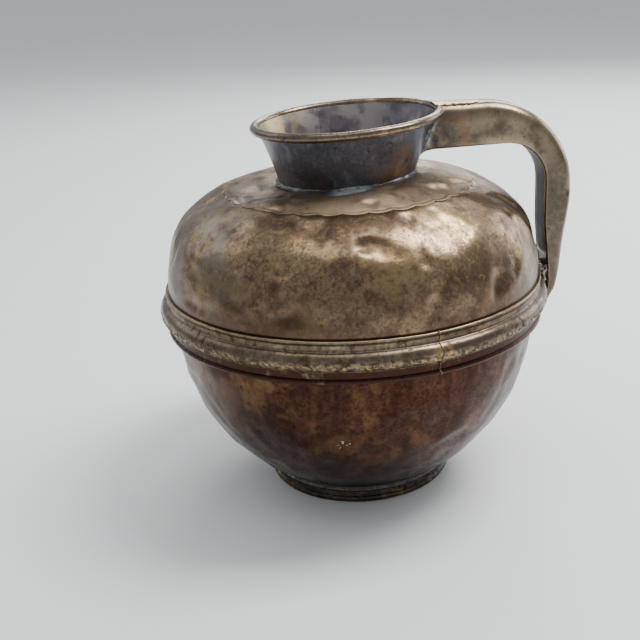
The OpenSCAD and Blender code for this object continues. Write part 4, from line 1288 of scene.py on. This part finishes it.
strapLump = {"half": 7.5 * mm, "inside": 2 * mm, "gap": 0.2 * mm, "endInset": 1 * mm}
strapSolder = lumpFormer(
    "strapSolder",
    (bodyRadius + strapLump["inside"], -strapLump["half"], beadHeight - beadRadius + strapLump["endInset"]),
    (strapFace - strapLump["gap"], strapLump["half"],
     strapHeight + handle["hollowEnd"] - strapLump["endInset"]))
applyTree(strapSolder, lumps, {
    "Density": 150000.0, "Drop Radius": 2.1 * mm, "Spread": 0.45, "Grid": 0.45 * mm, "Seed": 3,
    "Material": chalkySolder})
finishPiece(strapSolder, "strap_solder")

tipLump = {"half": 4 * mm, "inset": 1 * mm}
tipSolder = lumpFormer("tipSolder", (tipLow.x, -tipLump["half"], tipLow.z + tipLump["inset"]),
                       (tipHigh.x - tipLump["inset"], tipLump["half"], tipHigh.z - tipLump["inset"]))
applyTree(tipSolder, lumps, {
    "Density": 170000.0, "Drop Radius": 1.3 * mm, "Spread": 0.45, "Grid": 0.4 * mm, "Seed": 5,
    "Material": tinSolder})
finishPiece(tipSolder, "tip_solder")
print("handle done")

# the pieces shut inside keep their own shape and take a finish
for node, metal in (("girdle_solder", tinSolder), ("rim_wire", rimBrass)):
    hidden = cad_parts[node]
    hidden.data.materials.clear()
    hidden.data.materials.append(metal)

# studio: a wide pale floor under a pale even sky, and five softboxes
studio = {
    "floorReach": 14.0, "floorColour": "#f2f4f5", "floorRough": 0.7, "airColour": "#e4e8ea",
    "airStrength": 0.64,
    # bearing and rise in degrees as seen from the jug, then distance, width, height and power
    "boxes": {
        "keyBox": (0, 61, 1.5, 0.5, 0.8, 23), "leftBox": (140, 36, 2.2, 1.6, 1.2, 6),
        "rightBox": (25, 14, 1.9, 0.9, 0.9, 9), "backBox": (66, 30, 1.8, 1.1, 0.7, 16),
        "topBox": (-120, 82, 2.0, 1.6, 1.2, 9),
    },
}
far = studio["floorReach"]
floor = meshPiece("floor", [(-far, -far, 0), (far, -far, 0), (far, far, 0), (-far, far, 0)], [(0, 1, 2, 3)])
paper = bpy.data.materials.new("palePaper")
paper.use_nodes = True
paperSkin = paper.node_tree.nodes["Principled BSDF"]
paperSkin.inputs["Base Color"].default_value = toLinear(studio["floorColour"])
paperSkin.inputs["Roughness"].default_value = studio["floorRough"]
floor.data.materials.append(paper)

air = bpy.data.worlds.new("studioAir")
air.use_nodes = True
airLight = air.node_tree.nodes["Background"].inputs
airLight["Color"].default_value = toLinear(studio["airColour"])
airLight["Strength"].default_value = studio["airStrength"]
bpy.context.scene.world = air

middle = Vector((0, 0, girdleHeight))
for name, (bearing, rise, distance, width, height, power) in studio["boxes"].items():
    turn, up = math.radians(bearing), math.radians(rise)
    away = Vector((math.cos(turn) * math.cos(up), math.sin(turn) * math.cos(up), math.sin(up)))
    lamp = bpy.data.lights.new(name, "AREA")
    lamp.shape = "RECTANGLE"
    lamp.size, lamp.size_y = width, height
    lamp.energy = power
    box = bpy.data.objects.new(name, lamp)
    box.location = middle + away * distance
    box.rotation_euler = away.to_track_quat("Z", "Y").to_euler()
    bpy.context.scene.collection.objects.link(box)

# camera: where it stands, then how it is turned, in degrees
viewpoint = {
    "bearing": -98.0, "distance": 616 * mm, "height": 332 * mm, "heading": 84.0, "pitch": -20.6,
    "roll": -3.3, "lens": 58, "filmWidth": 36, "nearLimit": 10 * mm}
heading, pitch, roll = (math.radians(viewpoint[k]) for k in ("heading", "pitch", "roll"))
forward = Vector((math.cos(heading) * math.cos(pitch), math.sin(heading) * math.cos(pitch),
                  math.sin(pitch)))
level = Vector((math.sin(heading), -math.cos(heading), 0))
upright = level.cross(forward)
rightward = level * math.cos(roll) + upright * math.sin(roll)
upward = upright * math.cos(roll) - level * math.sin(roll)
camera = bpy.data.objects.new("camera", bpy.data.cameras.new("camera"))
camera.data.lens = viewpoint["lens"]
camera.data.sensor_width = viewpoint["filmWidth"]
camera.data.clip_start = viewpoint["nearLimit"]
bearing = math.radians(viewpoint["bearing"])
stand = Vector((viewpoint["distance"] * math.cos(bearing), viewpoint["distance"] * math.sin(bearing),
                viewpoint["height"]))
facing = Matrix((rightward, upward, -forward)).transposed().to_4x4()
camera.matrix_world = Matrix.Translation(stand) @ facing
bpy.context.scene.collection.objects.link(camera)
bpy.context.scene.camera = camera
